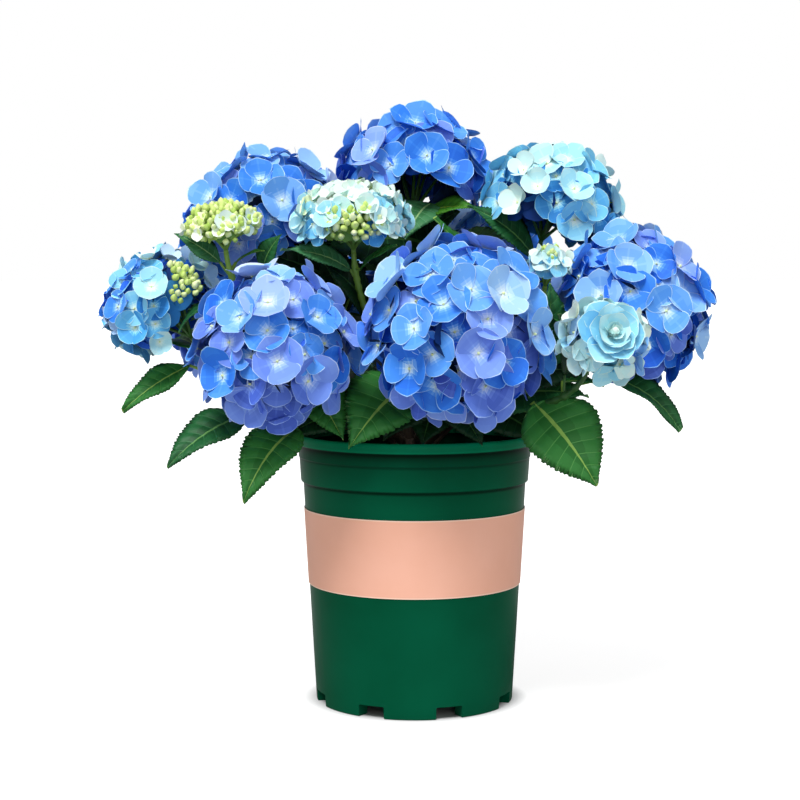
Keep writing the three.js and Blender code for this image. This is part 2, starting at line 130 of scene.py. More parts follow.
# ---------------------------------------------------------------- the pot
# A two gallon nursery pot, injection moulded in deep green plastic: a rolled lip, a neck and a collar
# that step out from the tapering wall, and eight feet with drain notches between them.
POT = {
    "height": 262, "lip_radius": 115.1, "lip_bottom": 251.5, "neck_radius": 113.4,
    "collar_top": 239.3, "collar_top_radius": 112.7, "collar_bottom": 215.4, "collar_bottom_radius": 111.2,
    "wall_top_radius": 108.8, "wall_rows": (14, 60, 114, 170), "foot_radius": 96.5, "wall": 2.4,
    "foot_height": 12, "foot_depth": 14, "floor": 2.6, "hub": (2, 40), "lip_roll": 2.4, "lip_lap": 4.4,
    "feet": 8, "notch_width": 26, "notch_round": 1.3, "front_foot": -93, "crease": 38,
    "drain_radius": 5.5, "drain_reach": 74, "drill_from": 8.0, "drill_to": 20.0, "drill_sides": 24,
}

# How light the plastic is painted, by height: painted shade in the grooves under each ring, over the neck,
# over the top of the collar and under the lip, a painted highlight along the lip, and a little lighter
# higher up the wall. The lightness at the top of the scale that the steps are stored on is set after the
# table.
PAINTED_LIGHT_BY_HEIGHT = [
    (0, 1.0), (8, 1.0), (150, 1.04), (200, 1.12), (212.4, 0.96), (213.6, 0.30), (215.8, 0.26), (216.8, 1.16),
    (236.8, 0.86), (238.2, 0.50), (239.6, 0.50), (240.6, 0.76), (244, 0.66), (246.8, 0.48), (248.8, 0.28),
    (250.2, 0.12), (251.8, 0.20), (252.5, 2.3), (255, 1.9), (257.5, 2.1), (259.8, 2.6), (262, 2.6),
]
PAINTED_LIGHT_TOP = 3.0


def wall_radius(z):
    """Outer radius of the pot's wall at height z: it widens evenly from the foot to under the collar."""
    return POT["foot_radius"] + (POT["wall_top_radius"] - POT["foot_radius"]) * z / POT["collar_bottom"]


def rounded_profile(corners, steps=4):
    """A line through corners (r, z, rounding): each corner is replaced by a quadratic curve that starts
    and ends the rounding's length away from it on its two sides."""
    line = []
    for i, (r, z, rounding) in enumerate(corners):
        corner = np.array([r, z], float)
        if rounding == 0 or i in (0, len(corners) - 1):
            line.append(corner)
            continue
        before = np.array(corners[i - 1][:2], float) - corner
        after = np.array(corners[i + 1][:2], float) - corner
        start = corner + before * min(rounding / np.linalg.norm(before), 0.5)
        end = corner + after * min(rounding / np.linalg.norm(after), 0.5)
        for t in np.linspace(0, 1, steps):
            line.append((1 - t) ** 2 * start + 2 * t * (1 - t) * corner + t ** 2 * end)
    return np.array(line)


def skin(rows, first=None, last=None):
    """Points and faces of a closed skin over rows of points, shape (rows, sides, 3). Each row is joined
    round and to the next. It is closed by an end point at each end, or without them into a ring."""
    count, sides, _ = rows.shape
    row, side = np.meshgrid(np.arange(count), np.arange(sides), indexing="ij")
    after = (side + 1) % sides
    above = (row + 1) % count
    corners = (row * sides + side, row * sides + after, above * sides + after, above * sides + side)
    quads = np.stack(corners, axis=-1)
    points = rows.reshape(-1, 3)
    if first is None:
        return points, quads.reshape(-1, 4)
    quads = quads[:-1].reshape(-1, 4)
    here = np.arange(sides)
    there = (here + 1) % sides
    top = (count - 1) * sides
    start = np.full(sides, count * sides)
    end = start + 1
    first_fan = np.stack([there, here, start, start], axis=-1)
    last_fan = np.stack([top + here, top + there, end, end], axis=-1)
    return np.vstack([points, first, last]), np.vstack([quads, first_fan, last_fan])


def make_piece(name, parts, finishes, body="root"):
    """One mesh of all parts. A part is points in millimetres, faces of four point numbers (a triangle
    repeats its third) and one finish number for each face."""
    sizes = np.cumsum([0] + [len(points) for points, _, _ in parts])
    points = np.vstack([points for points, _, _ in parts]) / 1000
    faces = np.vstack([faces + start for (_, faces, _), start in zip(parts, sizes)])
    tones = np.concatenate([np.broadcast_to(tone, len(faces)) for _, faces, tone in parts])
    used, slots = np.unique(tones, return_inverse=True)
    kept = np.ones(faces.shape, bool)
    kept[:, 3] = faces[:, 3] != faces[:, 2]
    corners = kept.sum(axis=1)
    mesh = bpy.data.meshes.new(name)
    mesh.vertices.add(len(points))
    mesh.vertices.foreach_set("co", points.astype(np.float32).ravel())
    mesh.loops.add(int(corners.sum()))
    mesh.loops.foreach_set("vertex_index", faces[kept].astype(np.int32))
    mesh.polygons.add(len(faces))
    mesh.polygons.foreach_set("loop_start", (np.cumsum(corners) - corners).astype(np.int32))
    mesh.polygons.foreach_set("material_index", slots.astype(np.int32).ravel())
    mesh.polygons.foreach_set("use_smooth", np.ones(len(faces), bool))
    mesh.update(calc_edges=True)
    for tone in used:
        mesh.materials.append(finishes[int(tone)])
    piece = bpy.data.objects.new(name, mesh)
    bpy.context.collection.objects.link(piece)
    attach(piece, body)
    return piece


def linear(colour):
    """Linear light of a colour given as three 8-bit screen values."""
    c = np.array(colour) / 255
    return tuple(np.where(c <= 0.04045, c / 12.92, ((c + 0.055) / 1.055) ** 2.4)) + (1.0,)


def colour_ramp(tree, share, stops):
    """Colour by a share from 0 to 1, mixed evenly between stops of a share and its colour."""
    node = tree.nodes.new("ShaderNodeValToRGB")
    elements = node.color_ramp.elements
    for k, (place, colour) in enumerate(stops):
        stop = elements[k] if k < 2 else elements.new(place)
        stop.position = place
        stop.color = colour
    tree.links.new(share, node.inputs["Fac"])
    return node.outputs["Color"]


def noise(tree, place, scale, detail=2):
    """Soft cloudy noise, this many clouds to the metre."""
    return add_node(tree, "TexNoise", "Fac", {"Vector": place, "Scale": scale, "Detail": detail})


def bump(tree, height, distance, strength=1.0):
    """The surface's direction once a pattern raises it by up to this distance in metres."""
    return add_node(tree, "Bump", "Normal", {"Height": height, "Distance": distance, "Strength": strength})


def foot_line(along):
    """Height of the pot's lower edge, by the distance in millimetres past the side of a notch: 0 under a
    foot, the foot's height in the notch, with a small round at both corners."""
    bend = POT["notch_round"]
    low = bend - np.sqrt(np.maximum(bend ** 2 - np.clip(along + bend, 0, bend) ** 2, 0))
    high = POT["foot_height"] - bend + np.sqrt(np.maximum(bend ** 2 - np.clip(bend - along, 0, bend) ** 2, 0))
    return np.where(along <= 0, low, high)


inside_floor = POT["foot_height"] + POT["floor"]
foot_inner = POT["foot_radius"] - POT["foot_depth"]
axle, hub = POT["hub"]
pot_line = rounded_profile([
    (axle, POT["foot_height"], 0),
    (hub, POT["foot_height"], 0),
    (foot_inner, POT["foot_height"], 1),
    (foot_inner, 0, 1),
    (POT["foot_radius"], 0, 1.6),
    *[(wall_radius(z), z, 0) for z in POT["wall_rows"]],
    (POT["wall_top_radius"], POT["collar_bottom"], 0.7),
    (POT["collar_bottom_radius"], POT["collar_bottom"] + 0.6, 1.1),
    (POT["collar_top_radius"], POT["collar_top"], 0.6),
    (POT["neck_radius"], POT["collar_top"] + 0.7, 0.6),
    (POT["neck_radius"], POT["lip_bottom"], 0.9),
    (POT["lip_radius"], POT["lip_bottom"] + 0.6, 0.9),
    (POT["lip_radius"], POT["height"] - POT["lip_roll"], 2.2),
    (POT["lip_radius"] - POT["lip_roll"], POT["height"], 1.6),
    (POT["lip_radius"] - POT["lip_lap"], POT["height"] - 1.5, 1.6),
    (POT["neck_radius"] - POT["wall"], POT["collar_top"], 2),
    (POT["collar_bottom_radius"] - POT["wall"], POT["collar_bottom"] + 3, 1),
    (POT["wall_top_radius"] - POT["wall"], POT["collar_bottom"] - 2, 1),
    (wall_radius(inside_floor) - POT["wall"], inside_floor, 2),
    (hub, inside_floor, 0),
    (axle, inside_floor, 0),
])

# Columns round the pot: close together at the sides of each notch, even between them.
foot_step = 2 * math.pi / POT["feet"]
half_notch = POT["notch_width"] / 2
half_foot = POT["foot_radius"] * foot_step / 2 - half_notch
across_foot = np.linspace(-2 * half_foot + 3, -3, 9)
past_side = np.array([0.01, 0.2, 0.5, 0.9, POT["notch_round"]])
across_side = np.concatenate([-past_side[::-1], past_side])
across_notch = np.linspace(4, 2 * half_notch - 4, 5)
one_step = np.concatenate([across_foot, across_side, across_notch, 2 * half_notch - across_side[::-1]])
edge_height = np.where(one_step < half_notch, foot_line(one_step), foot_line(2 * half_notch - one_step))
notch_side = math.radians(POT["front_foot"]) + foot_step / 2 - half_notch / POT["foot_radius"]
pot_turn = np.concatenate([
    notch_side + i * foot_step + one_step / POT["foot_radius"] for i in range(POT["feet"])])
pot_edge = np.tile(edge_height, POT["feet"])
line_r, line_z = pot_line[:, :1], pot_line[:, 1:]
pot_z = np.maximum(line_z, np.where(line_z < POT["foot_height"], pot_edge, 0))
pot_r = np.where(line_r > POT["foot_radius"] - 2, line_r - wall_radius(line_z) + wall_radius(pot_z), line_r)
pot_rows = np.stack([pot_r * np.cos(pot_turn), pot_r * np.sin(pot_turn), pot_z + 0 * pot_r], axis=-1)

pot_plastic, tree, place = new_finish("pot_plastic")
greens = colour_ramp(tree, noise(tree, place, scale=9, detail=4), [
    (0.3, linear((1, 72, 47))), (0.75, linear((3, 86, 59)))])
height = add_node(tree, "SeparateXYZ", "Z", {"Vector": place})
share = add_node(tree, "MapRange", "Result", {"Value": height, "From Max": POT["height"] / 1000})
# Painted light by height: shade under the rings and over the neck, a highlight along the lip.
painted_light = colour_ramp(tree, share, [(z / POT["height"], (light / PAINTED_LIGHT_TOP,) * 3 + (1,)) for z, light in PAINTED_LIGHT_BY_HEIGHT])
lightness = add_node(tree, "MapRange", "Result", {"Value": painted_light, "To Max": PAINTED_LIGHT_TOP})
toned = add_node(tree, "VectorMath", "Vector", {"Vector": greens, "Scale": lightness}, operation="SCALE")
pebbles = bump(tree, noise(tree, place, scale=900), distance=0.0004, strength=0.08)
set_inputs(tree, tree.nodes["Principled BSDF"], {
    "Base Color": toned, "Normal": pebbles, "Roughness": 0.32, "Specular IOR Level": 0.03})

pot_points, pot_faces = skin(pot_rows, (0, 0, POT["foot_height"]), (0, 0, inside_floor))
pot_shell = make_piece("pot_shell", [(pot_points, pot_faces, 0)], [pot_plastic])
pot_shell.data.set_sharp_from_angle(angle=math.radians(POT["crease"]))
ring = np.linspace(0, 2 * math.pi, POT["drill_sides"], endpoint=False)
low, high = np.array([0, 0, POT["drill_from"]]), np.array([0, 0, POT["drill_to"]])
drills = []
for i in range(POT["feet"]):
    turn = math.radians(POT["front_foot"]) + foot_step * (i + 0.5)
    centre = POT["drain_reach"] * np.array([math.cos(turn), math.sin(turn), 0])
    circle = POT["drain_radius"] * np.stack([np.cos(ring), np.sin(ring), 0 * ring], axis=-1) + centre
    drills.append((*skin(np.stack([circle + low, circle + high]), centre + low, centre + high), 0))
drill = make_piece("drill", drills, [pot_plastic])
cut = pot_shell.modifiers.new("drain_holes", "BOOLEAN")
cut.operation = "DIFFERENCE"
cut.solver = "EXACT"
cut.object = drill
bpy.context.view_layer.update()
drilled = bpy.data.meshes.new_from_object(pot_shell.evaluated_get(bpy.context.evaluated_depsgraph_get()))
pot_shell.modifiers.clear()
pot_shell.data = drilled
bpy.data.objects.remove(drill)
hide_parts("pot")


# ---------------------------------------------------------------- the label band
# A sleeve of peach coloured film round the wall, its ends lapped and glued at the back. It is bare,
# with a fine fibre in its matt face and a paler cut edge at its top and bottom.
BAND = {
    "bottom": 116, "top": 189.8, "edge": 2, "thickness": 0.6, "gap": 0.35, "sides": 192,
    "lap": 9, "lap_height": 150, "lap_thickness": 0.35, "pale_edge": 0.001,
}

band_turn = np.linspace(0, 2 * math.pi, BAND["sides"], endpoint=False)
lap_turn = BAND["lap"] / wall_radius(BAND["lap_height"])
lap = np.exp(-((band_turn - math.pi / 2) / lap_turn) ** 8) * BAND["lap_thickness"]
band_line = rounded_profile([
    (0, BAND["bottom"], 0), (1, BAND["bottom"], 0), (1, BAND["bottom"] + BAND["edge"], 0),
    (1, BAND["top"] - BAND["edge"], 0), (1, BAND["top"], 0), (0, BAND["top"], 0)])
band_r = wall_radius(band_line[:, 1:]) + BAND["gap"] + band_line[:, :1] * (BAND["thickness"] + lap)
band_rows = np.stack([
    band_r * np.cos(band_turn), band_r * np.sin(band_turn), band_line[:, 1:] + 0 * band_r], axis=-1)

band_film, tree, place = new_finish("band_film")
peach = colour_ramp(tree, noise(tree, place, scale=14, detail=6), [
    (0.25, linear((240, 176, 148))), (0.8, linear((248, 188, 164)))])
height = add_node(tree, "SeparateXYZ", "Z", {"Vector": place})
middle = (BAND["top"] + BAND["bottom"]) / 2000
half_plain = (BAND["top"] - BAND["bottom"]) / 2000 - BAND["pale_edge"]
is_plain = add_node(tree, "Math", "Value", {0: height, 1: middle, 2: half_plain}, operation="COMPARE")
edged = add_node(tree, "Mix", "Result", {
    "Factor": is_plain, "A": linear((252, 214, 192)), "B": peach}, data_type="RGBA")
fibres = bump(tree, noise(tree, place, scale=700), distance=0.0003, strength=0.06)
set_inputs(tree, tree.nodes["Principled BSDF"], {"Base Color": edged, "Normal": fibres, "Roughness": 0.55})

band_sleeve = make_piece("band_sleeve", [(*skin(band_rows), 0)], [band_film])
band_sleeve.data.set_sharp_from_angle(angle=math.radians(POT["crease"]))
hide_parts("label_band")


# ---------------------------------------------------------------- the potting mix
# Dark peat and bark fill the pot to 23 mm under the rim and mound up to the stool. Chips of bark and a
# few white perlite grains lie loose in the surface. All their tones are painted darker than their own, as
# shade under the leaves.
MIX = {
    "edge": 229, "top": 239, "dip": 1, "crown_radius": 46, "roughness": 1.6, "gap": 0.35, "shoulder": 3,
    "chips": 900, "white": 70, "chip_least": (1.2, 0.8, 0.4), "chip_most": (5.2, 2.4, 1.2),
    "chip_lift": 0.4, "grain_least": 0.8, "grain_most": 1.7, "crease": 50,
}
# Painted darker than the mix's own tones, the perlite too, as shade under the leaves.
MIX_TONES_PAINTED_DARK = [(22, 16, 12), (30, 22, 15), (44, 31, 21), (18, 13, 10), (150, 146, 134)]
PERLITE = 4

draw = np.random.default_rng(11)
mix_bottom = inside_floor + MIX["gap"]
mix_inner = wall_radius(POT["collar_bottom"] - 2.5) - POT["wall"] - MIX["gap"]
mix_turn = np.linspace(0, 2 * math.pi, 144, endpoint=False)


def mix_height(x, y):
    """Height of the surface: a cone from the edge to the crown, flat on top, plus three small waves."""
    reach = np.hypot(x, y)
    share = np.clip((mix_inner - reach) / (mix_inner - MIX["crown_radius"]), 0, 1)
    wave = np.sin(x * 0.31 + 1.7 * np.sin(y * 0.23)) + np.sin(y * 0.37 + x * 0.11) + np.sin(x * 0.9 - y * 0.8)
    return MIX["edge"] - MIX["dip"] + (MIX["top"] - MIX["edge"]) * share + wave * MIX["roughness"] / 3


mix_foot = wall_radius(mix_bottom) - POT["wall"] - MIX["gap"]
mix_radii = np.concatenate([[mix_foot, mix_inner], np.linspace(mix_inner, 6, 30)])
mix_x = mix_radii[:, None] * np.cos(mix_turn)
mix_y = mix_radii[:, None] * np.sin(mix_turn)
mix_z = mix_height(mix_x, mix_y)
mix_z[0] = mix_bottom
mix_z[1] = POT["collar_bottom"] - MIX["shoulder"]
mix_rows = np.stack([mix_x, mix_y, mix_z], axis=-1)

corner = np.array([(x, y, z) for z in (-1, 1) for x, y in ((-1, -1), (1, -1), (1, 1), (-1, 1))], float)
chip_faces = np.array([(3, 2, 1, 0), (4, 5, 6, 7), (0, 1, 5, 4), (1, 2, 6, 5), (2, 3, 7, 6), (3, 0, 4, 7)])
count = MIX["chips"]
reach = np.sqrt(draw.uniform(0.08, 0.94, count)) * mix_inner
turn = draw.uniform(0, 2 * math.pi, count)
middle = np.stack([reach * np.cos(turn), reach * np.sin(turn)], axis=-1)
chipped = draw.uniform(0.8, 1.0, (count, 8, 3))
size = chipped * draw.uniform(MIX["chip_least"], MIX["chip_most"], (count, 3))[:, None]
size[:MIX["white"]] = draw.uniform(MIX["grain_least"], MIX["grain_most"], (MIX["white"], 8, 3))
spin = draw.uniform(0, math.pi, (count, 1))
tip = draw.uniform(-0.5, 0.5, (count, 1))
block = corner * size
x = block[..., 0] * np.cos(spin) - block[..., 1] * np.sin(spin)
y = block[..., 0] * np.sin(spin) + block[..., 1] * np.cos(spin)
lift = mix_height(middle[:, 0], middle[:, 1])[:, None] + MIX["chip_lift"]
chip_points = np.stack([x + middle[:, :1], y + middle[:, 1:], block[..., 2] + tip * x + lift], axis=-1)
chip_tones = 1 + draw.integers(0, 3, count)
chip_tones[:MIX["white"]] = PERLITE
chips = (
    chip_points.reshape(-1, 3),
    (chip_faces + 8 * np.arange(count)[:, None, None]).reshape(-1, 4),
    np.repeat(chip_tones, len(chip_faces)),
)


def plain_finish(name, colour, roughness, gloss=0.5):
    """A finish of one plain colour, for pieces with so many small faces that a pattern would smear."""
    finish = bpy.data.materials.new(name)
    finish.use_nodes = True
    set_inputs(finish.node_tree, finish.node_tree.nodes["Principled BSDF"], {
        "Base Color": linear(colour), "Roughness": roughness, "Specular IOR Level": gloss})
    return finish


mix_finishes = [plain_finish(f"mix_tone_{i}", colour, 0.95) for i, colour in enumerate(MIX_TONES_PAINTED_DARK)]
tree = mix_finishes[0].node_tree
place = add_node(tree, "TexCoord", "Object", {})
crumbs = add_node(tree, "TexVoronoi", "Distance", {"Vector": place, "Scale": 380})
browns = colour_ramp(tree, crumbs, [(0, linear((34, 24, 17))), (1, linear((12, 9, 7)))])
set_inputs(tree, tree.nodes["Principled BSDF"], {"Base Color": browns, "Normal": bump(tree, crumbs, 0.002)})

mix_body = (*skin(mix_rows, (0, 0, mix_bottom), (0, 0, MIX["top"] - MIX["dip"])), 0)
mix_fill = make_piece("mix_fill", [mix_body, chips], mix_finishes)
mix_fill.data.set_sharp_from_angle(angle=math.radians(MIX["crease"]))
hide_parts("potting_mix")


# ---------------------------------------------------------------- stool and canes
# Fifteen woody canes rise from one knuckled stool in the mix. Their bark is thin and splits in long
# strips; its grey brown is painted much darker, as shade. Every cane, shoot and flower head follows one
# smooth line of growth.
STOOL = {
    "height": 20, "foot_radius": 30, "shoulder_radius": 25, "top_radius": 19, "sides": 60, "knuckle": 0.04,
}
RINGS = {
    "side": {"radius": 15, "rise": 8, "tilt": 38, "first": -195, "step": 36},
    "crown": {"radius": 9, "rise": 12, "tilt": 12, "first": -118, "step": 72},
}
GROWTH = {"leave": 0.36, "arrive": 0.34, "points": 241}
CANE = {"radius": 4.3, "tip_radius": 3.4, "share": 0.36, "rows": 44, "sides": 18}
SCARS = (0.3, 0.62, 0.93)

# The heads, in millimetres and degrees. Place and shape: ring and slot say where its cane starts, at is
# its centre, flat its height over its width, lean the tilt of its axis towards the bearing, cover how far
# down from its top the florets reach, and stem runs from its centre to the shoot's tip.
# Florets: floret is the petal length, spacing their distance over it, and skirt the growth of the lower
# ones. crown is how much deeper those on top sit. hues are the shares of blue, lavender, ice and lime, and
# deep is how strong. cups is the share that is half open, and down to the angle half all are. None open
# down to the angle shut, in the share sparse, in heart_width round the way heart, or in the cone bare.
# Buds: bud is the reach of a group. Groups fill the heart and the top down to buds_to, sunk by bury.
# unripe makes them greener. green is the stem tone of an unripe head. finish is not used.
HEADS = {
    "front_big": dict(
        ring="side", slot=3, at=(36, -150, 367), radius=88, flat=0.98, lean=42, bearing=-80, cover=150,
        stem=92, crown=0.08, floret=22.5, hues=(0.60, 0.40, 0, 0), deep=0.62),
    "front_left": dict(
        ring="side", slot=2, at=(-128, -135, 352), radius=77, flat=0.98, lean=50, bearing=-130, cover=144,
        stem=82, crown=0.1, floret=21, hues=(0.56, 0.44, 0, 0), deep=0.60),
    "right": dict(
        ring="side", slot=6, at=(203, -60, 390), radius=80, flat=0.96, lean=46, bearing=-22, cover=142,
        stem=83, floret=22, hues=(0.78, 0.22, 0, 0), deep=0.62),
    "top": dict(
        ring="crown", slot=3, at=(-2, 75, 524), radius=79, flat=0.8, lean=8, bearing=-90, cover=118,
        stem=52, floret=22.5, hues=(0.78, 0.22, 0, 0), deep=0.70, bare=(0.05, -0.8, -0.62, 36)),
    "upper_left": dict(
        ring="crown", slot=4, at=(-149, 30, 475), radius=84, flat=0.8, lean=22, bearing=180, cover=132,
        stem=72, floret=20.5, hues=(0.60, 0.40, 0, 0), deep=0.60),
    "upper_right": dict(
        ring="crown", slot=1, at=(135, 20, 490), radius=73, flat=0.76, lean=15, bearing=-20, cover=116,
        stem=46, floret=20, hues=(0, 0, 1, 0), deep=0.62, cups=0.2, bare=(-0.15, -0.72, -0.70, 33),
        finish="petals_pale"),
    "far_left": dict(
        ring="side", slot=0, at=(-241, -40, 390), radius=58, flat=0.95, lean=40, bearing=-165, cover=124,
        stem=48, floret=15.5, hues=(0.35, 0, 0.65, 0), deep=0.66, cups=0.3, heart=(0.42, -0.80, 0.42),
        heart_width=26, bud=7.5, bare=(0.74, -0.45, -0.5, 42), finish="petals_pale"),
    "lime": dict(
        ring="side", slot=1, at=(-179, -75, 462), radius=37, flat=0.62, lean=12, bearing=-120, cover=104,
        stem=26, floret=9.5, hues=(0, 0, 0.5, 0.5), deep=0.12, cups=0.3, shut=62, sparse=0.45, bud=8,
        buds_to=104, green=2, finish="buds_lime", unripe=1),
    "young": dict(
        ring="crown", slot=0, at=(-59, -65, 470), radius=54, flat=0.58, lean=12, bearing=-100, cover=112,
        stem=34, floret=11.5, hues=(0, 0, 0.98, 0.02), deep=0.44, half=50, heart=(0.08, -0.93, -0.30),
        heart_width=27, bud=7.8, buds_to=96, spacing=1.1, skirt=1.25, cups=0.5, bury=13, green=2,
        finish="petals_pale"),
    "rose": dict(
        ring="side", slot=4, at=(164, -175, 361), radius=40, flat=0.9, lean=40, bearing=-62, cover=140,
        stem=42, floret=16, hues=(0.1, 0, 0.9, 0), deep=0.32, finish="petals_pale", cups=0.35,
        heart=(0.12, -0.96, 0.2), heart_width=46, spacing=1.15),
    "bud": dict(
        ring="side", slot=5, at=(122, -95, 427), radius=21, flat=0.85, lean=18, bearing=-70, cover=115,
        stem=25, floret=10, hues=(0, 0, 1, 0), deep=0.36, cups=0.3, shut=20, bud=5, buds_to=40, green=2,
        finish="petals_pale"),
    "back_left": dict(
        ring="side", slot=9, at=(-195, 125, 371), radius=70, flat=0.94, lean=42, bearing=150, cover=146,
        stem=72, floret=22, hues=(0.6, 0.4, 0, 0), deep=0.6),
    "back_top": dict(
        ring="crown", slot=2, at=(85, 168, 439), radius=69, flat=0.86, lean=30, bearing=70, cover=135,
        stem=66, floret=22, hues=(0.6, 0.4, 0, 0), deep=0.62),
    "back_right": dict(
        ring="side", slot=7, at=(226, 108, 383), radius=71, flat=0.94, lean=42, bearing=30, cover=146,
        stem=73, floret=22, hues=(0.55, 0.45, 0, 0), deep=0.58),
    "back_low": dict(
        ring="side", slot=8, at=(-50, 166, 375), radius=70, flat=0.94, lean=42, bearing=105, cover=146,
        stem=72, floret=21, hues=(0.3, 0.1, 0.6, 0), deep=0.55),
}


def towards(bearing, elevation):
    """Unit vector at a compass bearing from +X and an elevation, both in degrees."""
    b, e = math.radians(bearing), math.radians(elevation)
    return np.array([math.cos(b) * math.cos(e), math.sin(b) * math.cos(e), math.sin(e)])


def unit(vectors):
    """Vectors scaled to length 1."""
    return vectors / np.linalg.norm(vectors, axis=-1, keepdims=True)


def growth_line(head):
    """Points on the cubic Bezier curve from the stool to the head's foot, evenly spaced along it. It
    leaves the stool at the ring's tilt and comes into the head along the head's axis."""
    ring = RINGS[head["ring"]]
    bearing = ring["first"] + ring["step"] * head["slot"]
    foot = head["centre"] - head["axis"] * head["stem"]
    start = towards(bearing, 0) * ring["radius"] + (0, 0, MIX["top"] + ring["rise"])
    span = np.linalg.norm(foot - start)
    leave = start + towards(bearing, 90 - ring["tilt"]) * span * GROWTH["leave"]
    arrive = foot - head["axis"] * span * GROWTH["arrive"]
    t = np.linspace(0, 1, GROWTH["points"])[:, None]
    line = (1 - t) ** 3 * start + 3 * (1 - t) ** 2 * t * leave + 3 * (1 - t) * t ** 2 * arrive + t ** 3 * foot
    walked = np.concatenate([[0], np.cumsum(np.linalg.norm(np.diff(line, axis=0), axis=1))])
    even = np.linspace(0, walked[-1], GROWTH["points"])
    return np.stack([np.interp(even, walked, line[:, k]) for k in range(3)], axis=-1)


def along(line, shares):
    """Points at the given shares of an evenly spaced line's length."""
    place = np.asarray(shares) * (len(line) - 1)
    return np.stack([np.interp(place, np.arange(len(line)), line[:, k]) for k in range(3)], axis=-1)


for head in HEADS.values():
    head["centre"] = np.array(head["at"], float)
    head["axis"] = towards(head["bearing"], 90 - head["lean"])
    head["line"] = growth_line(head)


def limb(path, radii, sides, relief=1.0):
    """A closed round limb along a path: at each point a ring of sides points square to the path, its
    radius scaled by the relief. Both ends are closed by a point. The rings are turned by a direction that
    no path takes."""
    tangent = unit(np.gradient(path, axis=0))
    side = np.cross(tangent[0], (0.31, 0.95, 0.02))
    across = unit(side - (tangent @ side)[:, None] * tangent)
    over = np.cross(tangent, across)
    turn = np.linspace(0, 2 * math.pi, sides, endpoint=False)
    ring = across[:, None] * np.cos(turn)[:, None] + over[:, None] * np.sin(turn)[:, None]
    reach = np.broadcast_to(np.reshape(radii, (-1, 1)) * relief, (len(path), sides))
    return skin(path[:, None] + ring * reach[..., None], path[0], path[-1])


def bark_relief(rows, sides, phase):
    """Long ridges that wander round the cane, a finer set across them, and rings where old leaves fell."""
    t = np.linspace(0, 1, rows)[:, None]
    turn = np.linspace(0, 2 * math.pi, sides, endpoint=False)
    ridges = 0.055 * np.sin(5 * turn + 1.6 * np.sin(7 * t + phase)) + 0.03 * np.sin(9 * turn - 11 * t + phase)
    scars = 0.16 * sum(np.exp(-((t - place) / 0.025) ** 2) for place in SCARS)
    return 1 + ridges + scars


bark, tree, place = new_finish("cane_bark")
stretched = add_node(tree, "Mapping", "Vector", {"Vector": place, "Scale": (260, 260, 30)})
strips = noise(tree, stretched, scale=1, detail=5)
# These browns are painted darker than the bark's own pale grey brown, as painted shade on canes and stool.
browns = colour_ramp(tree, strips, [(0.32, linear((26, 20, 14))), (0.7, linear((68, 54, 38)))])
set_inputs(tree, tree.nodes["Principled BSDF"], {
    "Base Color": browns, "Normal": bump(tree, strips, 0.0012), "Roughness": 0.85})

for i, (name, head) in enumerate(HEADS.items()):
    path = along(head["line"], np.linspace(0, CANE["share"], CANE["rows"]))
    radii = np.linspace(CANE["radius"], CANE["tip_radius"], CANE["rows"])
    cane = limb(path, radii, CANE["sides"], bark_relief(CANE["rows"], CANE["sides"], 1.3 * i))
    piece = make_piece(f"bark_{name}", [(*cane, 0)], [bark])
    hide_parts(f"cane_{name}")

stool_top = MIX["top"] + STOOL["height"]
stool_foot = MIX["top"] - MIX["dip"]
stool_turn = np.linspace(0, 2 * math.pi, STOOL["sides"], endpoint=False)
stool_line = rounded_profile([
    (STOOL["foot_radius"], stool_foot, 0), (STOOL["foot_radius"], MIX["top"] + 1, 0),
    (STOOL["shoulder_radius"], MIX["top"] + STOOL["height"] * 0.45, 5),
    (STOOL["top_radius"], MIX["top"] + STOOL["height"] * 0.85, 4),
    (8, stool_top, 3), (3, stool_top, 0)], steps=7)
stool_r, stool_z = stool_line[:, :1], stool_line[:, 1:]
knuckle = np.sin(5 * stool_turn + 0.2 * stool_z) + 0.6 * np.sin(8 * stool_turn - 0.5 * stool_z)
stool_r = stool_r * (1 + STOOL["knuckle"] * knuckle)
stool_rows = np.stack([
    stool_r * np.cos(stool_turn), stool_r * np.sin(stool_turn), stool_z + 0.5 * knuckle], axis=-1)
stool_skin = skin(stool_rows, (0, 0, stool_foot), (0, 0, stool_top))
stool_wood = make_piece("stool_wood", [(*stool_skin, 0)], [bark])
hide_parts("stool")


# ---------------------------------------------------------------- green shoots and leaves
# Soft green shoots go on from the canes, with a swollen joint at each pair of leaves. The leaves are
# broad pointed ovals, toothed at the edge, quilted between pale sunken veins and paler beneath.
SHOOT = {"radius": 3.3, "tip_radius": 2.4, "joint": 0.9, "joint_reach": 0.012, "rows": 60, "sides": 12}
LEAF = {
    "length": 112, "share": 66 / 112, "small": 0.7, "spread": 0.86, "ahead": 0.35, "drop": 0.42,
    "lift": 5, "petiole": 0.2, "outwards": 0.45, "clear_of_mix": 8, "apart": 26, "lit_reach": 190,
    "lit_height": 400,
}
PETIOLE = {"set": 1.7, "large": 1.6, "small": 1.2, "rows": 9, "sides": 7}
BLADE = {
    "from": 0.015, "to": 0.985, "bend": (0.06, 0.14), "fold": (0.10, 0.26), "curl": 0.05, "swell": 0.014,
    "wave": 0.018, "tooth": 0.017, "sunk_midrib": 0.008, "thick": 0.9,
}
VEINS = 8
HALF_VEIN = 0.0045

